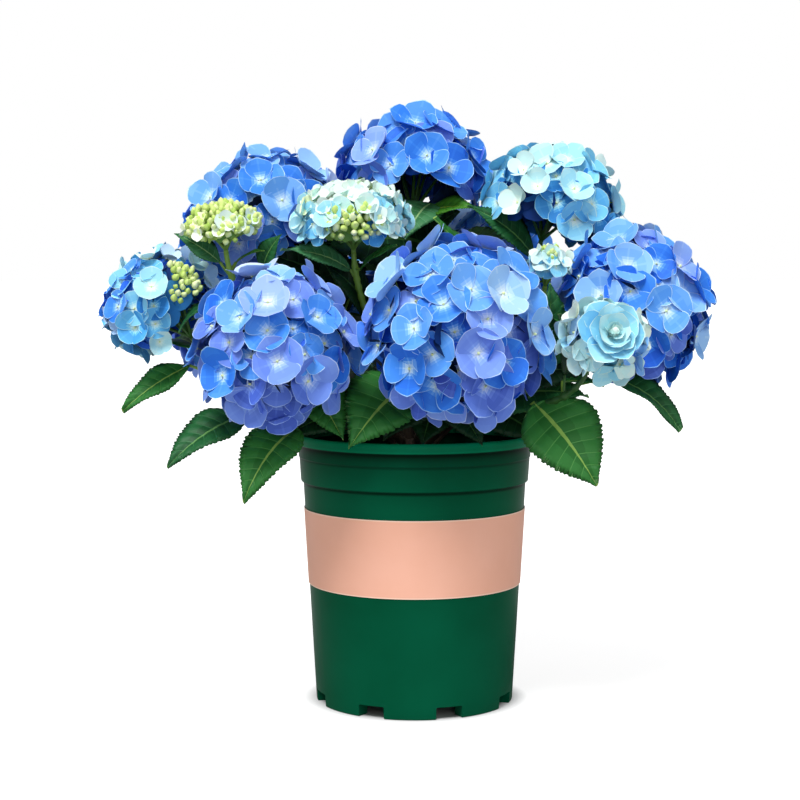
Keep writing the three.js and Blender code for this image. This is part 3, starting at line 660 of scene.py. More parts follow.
# Leaves with a set place, in mm: the shoot, how far up it the leaf joins, where its blade starts and ends,
# its width over its length, the bearing its upper side is turned to and how much (or None for outwards),
# and its green.
SET_LEAVES = [
    ("far_left", 0.5, (-215, -40, 330), (-276, -65, 288), 0.42, (-100, 0.8), "fresh"),
    ("front_left", 0.3, (-156, -85, 287), (-225, -135, 243), 0.5, (-115, 1.1), "deep"),
    ("front_left", 0.16, (-110, -95, 275), (-155, -150, 213), 0.56, (-105, 1.1), "fresh"),
    ("front_big", 0.3, (-5, -68, 315), (-61, -132, 259), 0.74, (-90, 1.1), "fresh"),
    ("front_left", 0.5, (-100, -80, 318), (-66, -112, 265), 0.64, (-90, 1.1), "fresh"),
    ("front_big", 0.14, (10, -50, 300), (-30, -92, 262), 0.7, (-90, 0.9), "shade"),
    ("front_big", 0.2, (30, -60, 300), (62, -98, 258), 0.7, (-90, 0.9), "shade"),
    ("rose", 0.4, (108, -115, 300), (163, -145, 227), 0.80, (-85, 1.1), "fresh"),
    ("rose", 0.75, (135, -100, 318), (175, -90, 313), 0.7, None, "fresh"),
    ("rose", 0.55, (92, -75, 320), (162, -82, 324), 0.72, (-90, 1.1), "shade"),
    ("rose", 0.3, (80, -72, 299), (160, -100, 304), 0.7, (-90, 1.1), "deep"),
    ("right", 0.6, (179, -80, 322), (247, -85, 271), 0.5, (-60, 0.5), "deep"),
    ("top", 0.86, (-6, 50, 481), (-55, 22, 511), 0.42, (-120, 1.1), "deep"),
    ("top", 0.8, (16, 45, 487), (-10, -5, 450), 0.62, (-90, 1.1), "grey"),
    ("top", 0.82, (11, 40, 478), (62, 5, 481), 0.5, (-90, 0.9), "bright"),
    ("upper_right", 0.86, (116, 12, 435), (50, -5, 483), 0.42, (-90, 1.1), "deep"),
    ("lime", 0.74, (-143, -62, 421), (-124, -78, 454), 0.6, (-90, 1.1), "deep"),
    ("young", 0.8, (-61, -55, 421), (-125, -85, 439), 0.42, (-90, 1.1), "grey"),
    ("lime", 0.86, (-183, -60, 428), (-226, -62, 455), 0.45, (-90, 1.1), "grey"),
    ("lime", 0.9, (-168, -62, 428), (-140, -78, 439), 0.4, None, "bright"),
    ("young", 0.9, (-52, -60, 421), (-17, -75, 444), 0.36, None, "fresh"),
    ("top", 0.6, (24, 60, 444), (-108, 14, 436), 0.78, (-90, 1.1), "shade"),
    ("upper_left", 0.3, (-70, 20, 375), (-96, -30, 440), 0.8, (-90, 1.1), "shade"),
    ("upper_left", 0.45, (-62, 8, 400), (-142, -10, 436), 0.85, (-90, 1.1), "shade"),
    ("front_left", 0.1, (-58, -66, 286), (-124, -98, 264), 0.62, (-90, 1.1), "shade"),
    ("front_big", 0.1, (20, -40, 292), (6, -97, 258), 0.85, (-90, 1.1), "shade"),
    ("rose", 0.2, (68, -60, 290), (120, -92, 262), 0.75, (-90, 1.1), "shade"),
    ("top", 0.64, (6, 60, 446), (44, 40, 480), 0.6, (-90, 1.1), "shade"),
    ("young", 0.5, (-45, -20, 380), (-92, -60, 430), 0.6, (-90, 1.1), "shade"),
    ("young", 0.6, (-30, -25, 385), (10, -60, 440), 0.6, (-90, 1.1), "shade"),
]

# How far up the shoot its pairs of leaves join, from the cane's tip to the head.
PAIRS = [0.2, 0.42, 0.66]
SMALL_PAIRS = [0.08, 0.14, 0.31, 0.36, 0.54, 0.6, 0.74, 0.86]

# The six tones of each green, in the order of their names. Shade is a darker copy of the greens, painted
# as shade on leaves inside the plant, and grey is one with a painted pale sheen.
PLAIN, BY_MIDRIB, SIDE_VEIN, MIDRIB, UNDER, UNDER_VEIN = range(6)
GREENS = {
    "fresh": [(48, 118, 50), (40, 106, 42), (78, 142, 68), (134, 174, 80), (98, 146, 86), (134, 172, 110)],
    "deep": [(32, 92, 48), (26, 80, 40), (54, 114, 66), (96, 146, 78), (78, 128, 84), (116, 156, 106)],
    "bright": [(62, 124, 32), (52, 112, 26), (94, 152, 52), (142, 178, 62), (112, 156, 64), (142, 176, 90)],
    # Greens with a painted pale sheen.
    "grey": [(62, 122, 76), (52, 110, 64), (96, 150, 104), (140, 180, 118), (104, 150, 108), (134, 172, 130)],
    # A darker copy of the greens: painted shade.
    "shade": [(14, 52, 26), (10, 44, 20), (34, 78, 44), (60, 100, 50), (44, 86, 50), (66, 106, 66)],
}
green_names = list(GREENS)
leaf_finishes = [
    plain_finish(f"leaf_{name}_{i}", colour, 0.5, gloss=0.22)
    for name, tones in GREENS.items() for i, colour in enumerate(tones)]
LEAF_STEM, SHOOT_STEM, PALE_STEM = range(3)
STEM_TONES = [(58, 104, 40), (44, 88, 34), (122, 160, 62)]
stem_finishes = [plain_finish(f"stem_{i}", colour, 0.5) for i, colour in enumerate(STEM_TONES)]


def leaf_grid(teeth):
    """Rows of a leaf by their start on the midrib, as a share of its length, whether the edge is a tooth
    there, how high the blade swells between the veins, whether the strip that follows is a vein, and the
    row's end on the edge. Rows run along the side veins, which rise towards the tip."""
    rows = [(BLADE["from"], 0, 0, 0)]
    for stop in (np.arange(VEINS) + 0.35) / (VEINS + 0.15):
        before = rows[-1][0]
        for k in range(1, 2 * teeth + 1):
            share = k / (2 * teeth + 1)
            start = before + (stop - HALF_VEIN - before) * share
            rows.append((start, k % 2, math.sin(math.pi * share), 0))
        rows += [(stop - HALF_VEIN, 0, 0, 1), (stop + HALF_VEIN, 1, 0, 0)]
    rows.append((BLADE["to"], 0, 0, 0))
    starts, tooth, swell, is_vein = np.array(rows).T
    ends = starts + 0.52 * starts * (1 - starts)
    veins = np.nonzero(is_vein)[0]
    ends[veins + 1] = ends[veins] + 0.004
    return starts, tooth, swell, is_vein, ends


def leaf_width(x):
    """Half width over the greatest half width, at share x of the length: widest at 0.38, drawn out to a
    long point."""
    peak = 0.38
    power = 1.34
    rise = power * peak / (1 - peak)
    shape = np.clip(x, 0, 1) ** rise * np.clip(1 - x, 0, 1) ** power
    return shape / (peak ** rise * (1 - peak) ** power)


BLADE_LINES = np.array([1, 0.7, 0.36, 0.05])
FINE_GRID, PLAIN_GRID = leaf_grid(3), leaf_grid(1)


def leaf_blade(base, tip, share, facing, grid, green, draw):
    """A closed leaf: across it |v| goes from the midrib to the edge, along it rows follow the side
    veins. Height is arch + fold + swell between the veins + a wave at the edge, and the underside lies
    a little below and meets the upper side at the edge."""
    starts, tooth, swell, is_vein, ends = grid
    axis = tip - base
    length = np.linalg.norm(axis)
    axis = axis / length
    over = unit(facing - (facing @ axis) * axis)
    across = np.cross(over, axis)
    v = np.concatenate([BLADE_LINES, -BLADE_LINES[::-1]])
    deep = np.abs(v)
    half = length * share / 2
    bite = BLADE["tooth"] * length * tooth * np.sin(math.pi * np.clip(ends, 0.02, 1)) ** 0.7
    edge_x = ends * length + 0.5 * bite
    edge_y = half * leaf_width(ends) + bite
    x = starts[:, None] * length + deep * (edge_x - starts * length)[:, None]
    x = x - 0.03 * length * deep * (1 - deep)
    y = v * edge_y[:, None]
    s = x / length
    bend = draw.uniform(*BLADE["bend"]) * length
    fold = draw.uniform(*BLADE["fold"])
    curl = draw.uniform(-BLADE["curl"], BLADE["curl"]) * length
    phase = draw.uniform(0, 2 * math.pi)
    z = bend * 4 * s * (1 - s) + fold * np.abs(y)
    z = z + BLADE["swell"] * length * swell[:, None] * np.sin(math.pi * deep ** 0.8)
    z = z + curl * v * s + BLADE["wave"] * length * deep ** 3 * np.sin(11 * s + phase + np.sign(v))
    z = z - BLADE["sunk_midrib"] * length * (deep < 0.1)
    thick = BLADE["thick"] * (1 - deep ** 2)
    upper = np.stack([x, y, z], axis=-1)
    lower = np.stack([x, y, z - thick], axis=-1)[:, 1:-1][:, ::-1]
    rows = np.concatenate([upper, lower], axis=1)
    pose = np.stack([axis, across, over])
    points, faces = skin(rows @ pose + base, base, tip)
    vein = is_vein[:, None] == 1
    strips = len(v) - 1
    top = np.where(vein, SIDE_VEIN, PLAIN) * np.ones((1, strips), int)
    top[:, 2:5] = np.where(vein, SIDE_VEIN, BY_MIDRIB)
    top[:, 3] = MIDRIB
    under = np.where(vein, UNDER_VEIN, UNDER) * np.ones((1, strips), int)
    under[:, 3] = UNDER_VEIN
    tones = np.concatenate([top, under], axis=1)[:-1].ravel()
    tones = np.concatenate([tones, np.full(2 * strips, UNDER), np.full(2 * strips, MIDRIB)])
    return points, faces, tones + len(GREENS[green]) * green_names.index(green)


def petiole(node, base, facing, radius):
    """A leaf's stalk: a quadratic curve that leaves the joint outwards and comes level into the blade."""
    t = np.linspace(0, 1, PETIOLE["rows"])[:, None]
    middle = (node + base) / 2 - facing * 0.12 * np.linalg.norm(base - node)
    path = (1 - t) ** 2 * node + 2 * t * (1 - t) * middle + t ** 2 * base
    return limb(path, radius * (1.15 - 0.3 * t[:, 0]), PETIOLE["sides"])


def repeatable(name):
    """The same stream of numbers from 0 to 1 that places this shoot's leaves in the solid model."""
    state = 7
    for letter in name:
        state = (state * 31 + ord(letter)) % 2 ** 32
    while True:
        state = (state * 1664525 + 1013904223) % 2 ** 32
        yield state / 2 ** 32


def in_bloom(points):
    """True where any of the points lies inside a flower head."""
    for head in HEADS.values():
        q = points - head["centre"]
        height = q @ head["axis"]
        level = np.linalg.norm(q - height[:, None] * head["axis"], axis=1)
        if (np.hypot(level, height / head["flat"]) < head["radius"]).any():
            return True
    return False


def pair_tips(node, tangent, turned, length, numbers):
    """Tips of a pair of leaves: to both sides of the shoot, a little up along it and down by a random
    amount, each next pair turned a quarter."""
    level = unit(np.cross(tangent, (0, 0, 1)))
    sides = unit(np.cross(level, tangent)) if turned else level
    for sign in (1, -1):
        reach = length * (0.86 + 0.3 * next(numbers))
        aim = sides * sign * LEAF["spread"] + tangent * LEAF["ahead"]
        aim[2] -= LEAF["drop"] * next(numbers)
        tip = node + unit(aim) * reach
        tip[2] = max(tip[2], POT["height"])
        yield tip


set_spines = np.vstack([np.linspace(base, tip, 7) for _, _, base, tip, *_ in SET_LEAVES])


def crowds(spine):
    """True where a leaf's spine comes too near to that of a leaf with a set place."""
    return np.linalg.norm(spine[:, None] - set_spines[None], axis=2).min() < LEAF["apart"]


LOW_FRONT = {"depth": 130, "height": 340, "reach": 140}


def stands_out(tip):
    """True for a tip in front and low outside the heads, where only the leaves with a set place reach."""
    outside = math.hypot(tip[0], tip[1]) > LOW_FRONT["reach"]
    return tip[1] < LOW_FRONT["depth"] and tip[2] < LOW_FRONT["height"] and outside


def on_shoot(share):
    """Share of the whole growth line at a share of the shoot, which starts at the cane's tip."""
    return CANE["share"] + (1 - CANE["share"]) * share


# Each random leaf is tried at its full reach, then shorter and lower, then shorter still and higher.
TRIES = ((1, 0), (0.85, -14), (0.7, 10))
UP = np.array([0, 0, 1.0])
for i, (name, head) in enumerate(HEADS.items()):
    draw = np.random.default_rng(300 + i)
    line = head["line"]
    numbers = repeatable(f"leaves_{name}")
    blades, stalks = [], []
    for shoot, at, base, tip, share, face, green in SET_LEAVES:
        if shoot != name:
            continue
        base, tip = np.array(base, float), np.array(tip, float)
        out = unit(np.array([tip[0], tip[1], 0]))
        facing = unit(UP + (LEAF["outwards"] * out if face is None else face[1] * towards(face[0], 0)))
        node = along(line, [on_shoot(at)])[0]
        blades.append(leaf_blade(base, tip, share, facing, FINE_GRID, green, draw))
        stalks.append((*petiole(node, base, facing, PETIOLE["set"]), PALE_STEM))
    small = LEAF["length"] * LEAF["small"]
    wanted = [(at, k % 2 == 1, LEAF["length"], PETIOLE["large"]) for k, at in enumerate(PAIRS)]
    wanted += [(at, k % 2 == 0, small, PETIOLE["small"]) for k, at in enumerate(SMALL_PAIRS)]
    for at, turned, length, thick in wanted:
        node, ahead = along(line, [on_shoot(at), min(on_shoot(at) + 0.01, 1)])
        for tip in pair_tips(node, unit(ahead - node), turned, length, numbers):
            out = unit(np.array([tip[0], tip[1], 0]))
            facing = unit(UP + LEAF["outwards"] * out)
            for reach, lift in TRIES:
                end = node + (tip - node) * reach + (0, 0, lift)
                base = node + (end - node) * LEAF["petiole"] + facing * LEAF["lift"]
                spine = base + (end - base) * np.linspace(0.1, 1, 7)[:, None]
                in_mix = min(spine[:, 2]) < MIX["top"] + LEAF["clear_of_mix"]
                if in_bloom(spine) or in_mix or stands_out(end) or crowds(spine):
                    continue
                # Leaves deep inside the plant take the shade green: painted shade.
                lit = np.hypot(end[0], end[1]) > LEAF["lit_reach"] or end[2] > LEAF["lit_height"]
                green = ("deep", "fresh")[int(draw.random() < 0.5)] if lit else "shade"
                blades.append(leaf_blade(base, end, LEAF["share"], facing, PLAIN_GRID, green, draw))
                stalks.append((*petiole(node, base, facing, thick), LEAF_STEM))
                break
    shares = np.linspace(CANE["share"], 1, SHOOT["rows"])
    radii = np.linspace(SHOOT["radius"], SHOOT["tip_radius"], SHOOT["rows"])
    for joint in sorted({leaf[1] for leaf in SET_LEAVES if leaf[0] == name} | set(PAIRS) | set(SMALL_PAIRS)):
        radii = radii + SHOOT["joint"] * np.exp(-((shares - on_shoot(joint)) / SHOOT["joint_reach"]) ** 2)
    ribs = 1 + 0.04 * np.cos(4 * np.linspace(0, 2 * math.pi, SHOOT["sides"], endpoint=False))
    stem = limb(along(line, shares), radii, SHOOT["sides"], ribs)
    stalks.append((*stem, head.get("green", SHOOT_STEM)))
    leaves = make_piece(f"foliage_{name}", blades, leaf_finishes)
    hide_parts(f"leaves_{name}")
    shoot = make_piece(f"shoot_{name}", stalks, stem_finishes)
    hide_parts(f"leaves_{name}")


# ---------------------------------------------------------------- flower heads
# Each head is a ball or dome of sterile florets on thin green stalks. A floret has four broad petals in
# two overlapping pairs, pale at the eye, stronger outwards, with a thin pale rim, and a bead at its eye.
# Florets lie in three layers, the innermost the flattest and painted deepest as shade, over sheets that
# close the head with painted shade. Florets under the head are painted deeper, as shade, and those facing
# up paler, as a painted highlight.
PETAL = {"width": 1.5, "rim": 0.44, "pair": 0.05, "clear": 1.4, "nod": 0.30, "reach": 0.8, "most_mend": 0.40}
FLORETS = {
    "spacing": 1.42, "sink": 0.62, "crown": 0.40, "hem": 0.5, "half_open_size": 0.68, "half_open_cup": 0.85,
    "half_open_rise": 0.22, "half_open_deep": 0.35, "deepest": 0.88, "eye_rise": 0.06,
}
LAYERS = {
    "out": np.array([-0.20, -0.02, 0.15]),
    "cup": np.array([0.20, 0.32, 0.46]),
    # The inner layers' deeper tones are painted shade.
    "deep": np.array([1.30, 1.10, 0.92]),
}
SHEETS = {"spacing": 1.35, "share": 0.75, "beyond": 12, "most_cover": 165, "sink": 1.2, "green_sink": 1.8}
STEPS = 24

# The hues run from the eye's pale tone to the deepest, as screen colours. The last is a dark hue painted
# as shade, for the sheets.
BLUE, LAVENDER, ICE, LIME, PAINTED_SHADE = range(5)
HUES = {
    "blue": [
        (238, 247, 250), (174, 212, 250), (100, 164, 240), (48, 126, 228), (20, 90, 208), (10, 62, 176)],
    "lavender": [
        (240, 246, 252), (186, 208, 250), (136, 172, 243), (110, 144, 232), (82, 114, 212), (46, 74, 176)],
    "ice": [(246, 250, 234), (202, 239, 240), (144, 215, 241), (90, 177, 231), (50, 137, 212), (22, 92, 166)],
    "lime": [
        (246, 250, 226), (226, 240, 170), (200, 224, 122), (164, 200, 92), (118, 164, 68), (78, 124, 50)],
    "gloom": [(60, 118, 190), (26, 84, 170), (14, 58, 132), (8, 38, 84), (5, 26, 50), (4, 20, 34)],
}
petal_finishes = []
for name, stops in HUES.items():
    tones = np.array(stops, float)
    for step in range(STEPS):
        place = step / (STEPS - 1) * (len(stops) - 1)
        colour = [np.interp(place, np.arange(len(stops)), tones[:, k]) for k in range(3)]
        petal_finishes.append(plain_finish(f"petal_{name}_{step:02d}", colour, 0.6, gloss=0.25))


def sheet_grid(along_lines, across_lines):
    """A square grid bent into a disc: x = a sqrt(1 - b b / 2), y = b sqrt(1 - a a / 2), with its quads
    and whether each quad lies on the rim."""
    a, b = np.meshgrid(along_lines, across_lines, indexing="ij")
    x, y = (a * np.sqrt(1 - b * b / 2)).ravel(), (b * np.sqrt(1 - a * a / 2)).ravel()
    n, m = len(along_lines), len(across_lines)
    row, column = (k.ravel() for k in np.meshgrid(np.arange(n - 1), np.arange(m - 1), indexing="ij"))
    corner = row * m + column
    quads = np.stack([corner, corner + m, corner + m + 1, corner + 1], axis=-1)
    rim = (row == n - 2) | (column == 0) | (column == m - 2)
    return x, y, quads, rim


OPEN_GRID = sheet_grid(
    np.array([-1, -0.84, -0.64, -0.42, -0.16, 0.16, 0.54, 0.95, 1]),
    np.array([-1, -0.945, -0.52, -0.07, 0.07, 0.52, 0.945, 1]))
INNER_GRID = sheet_grid(np.array([-1, -0.5, 0, 0.5, 1]), np.array([-1, -0.4, 0.4, 1]))


def petals(grid, eye, out, over, length, width, cup, curl, wave, phase, point):
    """Many petals at once. From its eye a petal runs along out with over as its upper side:
    u = (x + 1) / 2 along it, width grows outwards, height is cup u^1.5 + curl y y u + a wave at its edge."""
    x, y, quads, _ = grid
    u = (x + 1) / 2
    length, width, cup, curl, wave, phase, point = (
        np.asarray(values)[:, None] for values in (length, width, cup, curl, wave, phase, point))
    far = length * (u + point * u ** 4 * (1 - np.abs(y)) ** 2 - 0.06 * u * y * y)
    side = length * width / 2 * (0.50 + 0.70 * u) * y
    turn = phase + 3 * np.arctan2(y, x)
    high = cup * u ** 1.5 + curl * y * y * u + wave * np.sin(turn) * u ** 2 * (x * x + y * y)
    high = length * high
    across = np.cross(over, out)
    points = eye[:, None] + far[..., None] * out[:, None] + side[..., None] * across[:, None]
    points = points + high[..., None] * over[:, None]
    faces = quads + len(x) * np.arange(len(eye))[:, None, None]
    return points.reshape(-1, 3), faces.reshape(-1, 4)


def petal_tones(grid, hue, deep):
    """Finish number of each face of each petal: pale at the eye, deep from half way out, a little
    lighter near the tip and on the vein up its middle, and pale at the rim. Sheets have one tone."""
    x, y, quads, rim = grid
    u = ((x + 1) / 2)[quads].mean(axis=1)
    v = np.abs(y[quads].mean(axis=1))
    far = np.hypot(u, PETAL["width"] / 2 * (0.5 + 0.7 * u) * v)
    rise = np.clip((far - 0.05) / 0.52, 0, 1)
    rise = rise * rise * (3 - 2 * rise)
    shape = 0.20 + 0.80 * rise - 0.05 * (v < 0.04) - 0.12 * np.clip((u - 0.75) / 0.2, 0, 1)
    shape = np.where(rim, shape * PETAL["rim"], shape)
    if grid is INNER_GRID:
        shape = np.full(len(quads), 0.9)
    step = np.clip(np.round(deep[:, None] * shape * (STEPS - 1)), 0, STEPS - 1).astype(int)
    return (hue[:, None] * STEPS + step).ravel()


def lean_to(directions):
    """For each direction the three axes (x, y, z rows) of the least turn that brings +Z onto it."""
    d = unit(directions)
    c = 1 + np.clip(d[:, 2], -0.999, 1)
    x = np.stack([1 - d[:, 0] ** 2 / c, -d[:, 0] * d[:, 1] / c, -d[:, 0]], axis=-1)
    y = np.stack([-d[:, 0] * d[:, 1] / c, 1 - d[:, 1] ** 2 / c, -d[:, 1]], axis=-1)
    return unit(x), unit(y), d


def settle(places, over, out, size, cup, rank):
    """How much more cup each floret's petal needs for its tip to pass over the florets of a lower rank
    and under those of a higher one. Height and distance are read square to each other floret's face."""
    reach = PETAL["reach"]
    tip = places + out * (reach * size)[:, None] + over * (cup * reach ** 1.5 * size)[:, None]
    gap = tip[:, None] - places[None]
    high = np.einsum("ijk,jk->ij", gap, over)
    away = np.sqrt(np.maximum((gap ** 2).sum(axis=-1) - high ** 2, 0))
    face = cup * size * (away / size) ** 1.5
    order = rank * 1000 + np.arange(len(rank))
    meets = (away < 0.98 * size) & (np.abs(high) < size)
    below = meets & (order[:, None] < order[None])
    above = meets & (order[:, None] > order[None])
    drop = np.where(below, np.minimum(0, face - high - PETAL["clear"]), 0).min(axis=1)
    lift = np.where(above, np.maximum(0, face - high + PETAL["clear"]), 0).max(axis=1)
    return np.clip((drop + lift) / (reach ** 1.5 * size), -PETAL["most_mend"], PETAL["most_mend"])


def florets(grid, places, outward, size, hue, deep, cup, rank, draw):
    """Four petals for each floret, the second pair above the first, all turned alike about the floret's
    own outward axis. The lower pair's sides bend down, so that the upper pair covers them. Open florets
    are mended to pass over and under each other, and sheets are not."""
    count = len(places)
    across, up, over = lean_to(outward)
    spin = draw.uniform(0, math.pi / 2, count)
    parts = []
    for k in range(4):
        turn = spin + k * math.pi / 2 + draw.normal(0, 0.05, count)
        upper = k % 2
        out = across * np.cos(turn)[:, None] + up * np.sin(turn)[:, None]
        mended = cup if grid is INNER_GRID else cup + settle(places, over, out, size, cup, rank)
        length = size * (1 - 0.04 * upper) * draw.uniform(0.93, 1.07, count)
        width = PETAL["width"] * draw.uniform(0.92, 1.1, count)
        eye = places + over * (PETAL["pair"] * upper * size)[:, None]
        curl = draw.uniform(-0.02, 0.16, count) if upper else draw.uniform(-0.16, -0.02, count)
        points, faces = petals(
            grid, eye, out, over, length, width, mended + draw.uniform(-0.02, 0.02, count), curl,
            wave=draw.uniform(0.01, 0.07, count), phase=draw.uniform(0, 2 * math.pi, count),
            point=draw.uniform(0, 0.17, count))
        parts.append((points, faces, petal_tones(grid, hue, deep * draw.uniform(0.86, 1.14, count))))
    return parts


BEAD_SIDES = 8


def beads(places, outward, size, finish):
    """Closed buds, and the beads at the florets' eyes: balls of four lobes, a little pointed."""
    turn = np.linspace(0, 2 * math.pi, BEAD_SIDES, endpoint=False)
    level = np.radians([-50, -12, 26, 60])[:, None]
    lobes = 1 + 0.09 * np.cos(4 * turn)
    ring = np.stack([
        np.cos(level) * np.cos(turn) * lobes, np.cos(level) * np.sin(turn) * lobes,
        np.sin(level) + 0.55 * np.maximum(np.sin(level), 0) ** 2 + 0 * turn], axis=-1)
    points, faces = skin(ring, (0, 0, -1), (0, 0, 1.68))
    x, y, z = lean_to(outward)
    moved = points[:, :1] * x[:, None] + points[:, 1:2] * y[:, None] + points[:, 2:] * z[:, None]
    moved = moved * np.reshape(size, (-1, 1, 1)) + places[:, None]
    numbers = faces + len(points) * np.arange(len(places))[:, None, None]
    return moved.reshape(-1, 3), numbers.reshape(-1, 4), np.repeat(finish, len(faces))


def thin_stalks(starts, ends, radius, finish):
    """Straight three-sided stalks, all at once, thicker at the start."""
    x, y, _ = lean_to(ends - starts)
    turn = np.arange(3) * 2 * math.pi / 3
    ring = x[:, None] * np.cos(turn)[:, None] + y[:, None] * np.sin(turn)[:, None]
    points = np.concatenate([starts[:, None] + ring * radius, ends[:, None] + ring * radius * 0.6], axis=1)
    faces = np.array([(0, 1, 4, 3), (1, 2, 5, 4), (2, 0, 3, 5), (2, 1, 0, 0), (3, 4, 5, 5)])
    numbers = faces + 6 * np.arange(len(starts))[:, None, None]
    return points.reshape(-1, 3), numbers.reshape(-1, 4), finish


def spiral(count, cover):
    """Unit directions, evenly spread from the pole down to the cover angle, each a golden turn on."""
    zone = 1 - math.cos(math.radians(cover))
    i = np.arange(count)
    z = 1 - zone * (i + 0.5) / count
    r = np.sqrt(1 - z * z)
    turn = i * math.pi * (3 - math.sqrt(5))
    return np.stack([r * np.cos(turn), r * np.sin(turn), z], axis=-1)


def on_head(head, directions, level):
    """Places on the head's ellipsoid scaled by level, and the outward direction at each."""
    x, y, z = lean_to(head["axis"][None])
    turn = np.concatenate([x, y, z])
    flat = np.array([1, 1, head["flat"]])
    places = head["centre"] + (directions * flat * head["radius"] * np.reshape(level, (-1, 1))) @ turn
    return places, unit(directions / flat) @ turn


def is_bare(head, places):
    """True for places on the side of the head that has no florets, where its rays and the sky show."""
    if "bare" not in head:
        return np.zeros(len(places), bool)
    *way, width = head["bare"]
    return unit(places - head["centre"]) @ unit(np.array(way)) > math.cos(math.radians(width))


def zone_area(head):
    """Area of the head's skin from its top down to its cover angle, taken as a squashed ball."""
    zone = 1 - math.cos(math.radians(head["cover"]))
    return 2 * math.pi * head["radius"] ** 2 * zone * (0.45 + 0.55 * head["flat"])


def angle_to(ways, way):
    """Degrees between unit directions and one unit direction."""
    return np.degrees(np.arccos(np.clip(ways @ way, -1, 1)))


def open_florets(head, mix, draw):
    """The head's florets with the beads at their eyes, and their places. Florets on top sink by the
    crown, those under the head by the hem. They face outwards, less so downwards, and nod up a little.
    Their tones are painted deeper on the inner layers and under the head, as shade, and paler where they
    face up, as a painted highlight."""
    size = head["floret"]
    count = int(zone_area(head) / (head.get("spacing", FLORETS["spacing"]) * size) ** 2)
    directions = spiral(count, head["cover"])
    angle = angle_to(directions, UP)
    layer = np.arange(count) % 3
    _, outward = on_head(head, directions, 1)
    crown, hem = np.clip(outward[:, 2], 0, 1), np.clip(-0.3 - outward[:, 2], 0, 1)
    sink = FLORETS["sink"] - LAYERS["out"][layer] + head.get("crown", FLORETS["crown"]) * crown
    sink = sink + FLORETS["hem"] * hem
    level = 1 - sink * size / head["radius"] + draw.uniform(-0.01, 0.01, count)
    places, outward = on_head(head, directions, level)
    near_heart = angle_to(unit(places - head["centre"]), head["heart_way"])
    shut = (near_heart < head.get("heart_width", 0)) | (angle < head.get("shut", 0))
    shut |= draw.random(count) < head.get("sparse", 0)
    shut |= is_bare(head, places)
    high = np.clip(outward[:, 2:], 0, 1)
    facing = outward * (1, 1, 0.62) + draw.normal(0, 1, (count, 3)) * (0.08 + 0.08 * high)
    facing = unit(facing + (0, 0, PETAL["nod"]) * (1 - high))
    hue = draw.choice(4, count, p=mix)
    lilac_share = mix[LAVENDER] / max(mix[BLUE] + mix[LAVENDER], 0.01) * (1.15 - 0.6 * outward[:, 2])
    lilac = draw.random(count) < lilac_share
    hue = np.where(hue < ICE, lilac, hue)
    # Painted light: paler where a floret faces up, deeper on the inner layers and under the head.
    deep = head["deep"] * draw.uniform(0.70, 1.20, count) * (1 - 0.3 * np.clip(facing[:, 2], 0, 1))
    deep = deep * LAYERS["deep"][layer] * np.where(draw.random(count) < 0.22, 0.66, 1)
    deep = np.minimum(deep * (1 + 0.3 * np.clip(-outward[:, 2], 0, 1)), FLORETS["deepest"])
    half_open = (draw.random(count) < head.get("cups", 0)) | (angle < head.get("half", 0))
    places = places + outward * (FLORETS["half_open_rise"] * size * half_open)[:, None]
    cup = LAYERS["cup"][layer] * draw.uniform(0.6, 1.25, count)
    cup = np.where(half_open, FLORETS["half_open_cup"], cup)
    sizes = size * draw.uniform(0.86, 1.08, count) * np.where(half_open, FLORETS["half_open_size"], 1)
    sizes = sizes * np.where(angle > 60, head.get("skirt", 1), 1)
    deep = np.where(half_open, deep * FLORETS["half_open_deep"], deep)
    places, facing, sizes, hue, deep, cup, layer = (
        values[~shut] for values in (places, facing, sizes, hue, deep, cup, layer))
    parts = florets(OPEN_GRID, places, facing, sizes, hue, deep, cup, layer, draw)
    eyes = places + facing * FLORETS["eye_rise"] * size
    parts.append(beads(eyes, facing, 0.05 * sizes + 0.3, np.full(len(eyes), LIME * STEPS + 4)))
    return parts, places


def inner_sheets(head, mix, draw):
    """Sheets of four petals inside the head, and their places. They close it to the eye with painted shade:
    mostly in a dark hue, seldom so in a pale head, the rest in a deeper tone of the head's hues, and all
    green in an unripe one."""
    size = head["floret"]
    count = int(zone_area(head) / (SHEETS["spacing"] * size) ** 2 * SHEETS["share"])
    ways = spiral(count, min(head["cover"] + SHEETS["beyond"], SHEETS["most_cover"]))
    _, outward = on_head(head, ways, 1)
    sink = SHEETS["sink"] + head.get("crown", FLORETS["crown"]) * np.clip(outward[:, 2], 0, 1)
    if "green" in head:
        sink = SHEETS["green_sink"]
    places, outward = on_head(head, ways, 1 - sink * size / head["radius"])
    covered = ~is_bare(head, places)
    places, outward, count = places[covered], outward[covered], covered.sum()
    # Painted shade: most sheets take the dark hue, the rest a deeper tone of the head's own hues.
    in_painted_shade = draw.random(count) < (0.2 if mix[ICE] > 0.5 else 0.75)
    hue = np.where(in_painted_shade, PAINTED_SHADE, draw.choice(4, count, p=mix))
    deep = np.where(in_painted_shade, draw.uniform(0.3, 1, count), min(head["deep"] * 1.5, 0.92))
    if "green" in head:
        hue, deep = np.full(count, LIME), draw.uniform(0.6, 0.9, count)
    facing = unit(outward + draw.normal(0, 0.16, (count, 3)))
    cup = draw.uniform(0.1, 0.3, count)
    sizes = np.full(count, float(size))
    return florets(INNER_GRID, places, facing, sizes, hue, deep, cup, np.zeros(count), draw), places


GROUP = 7


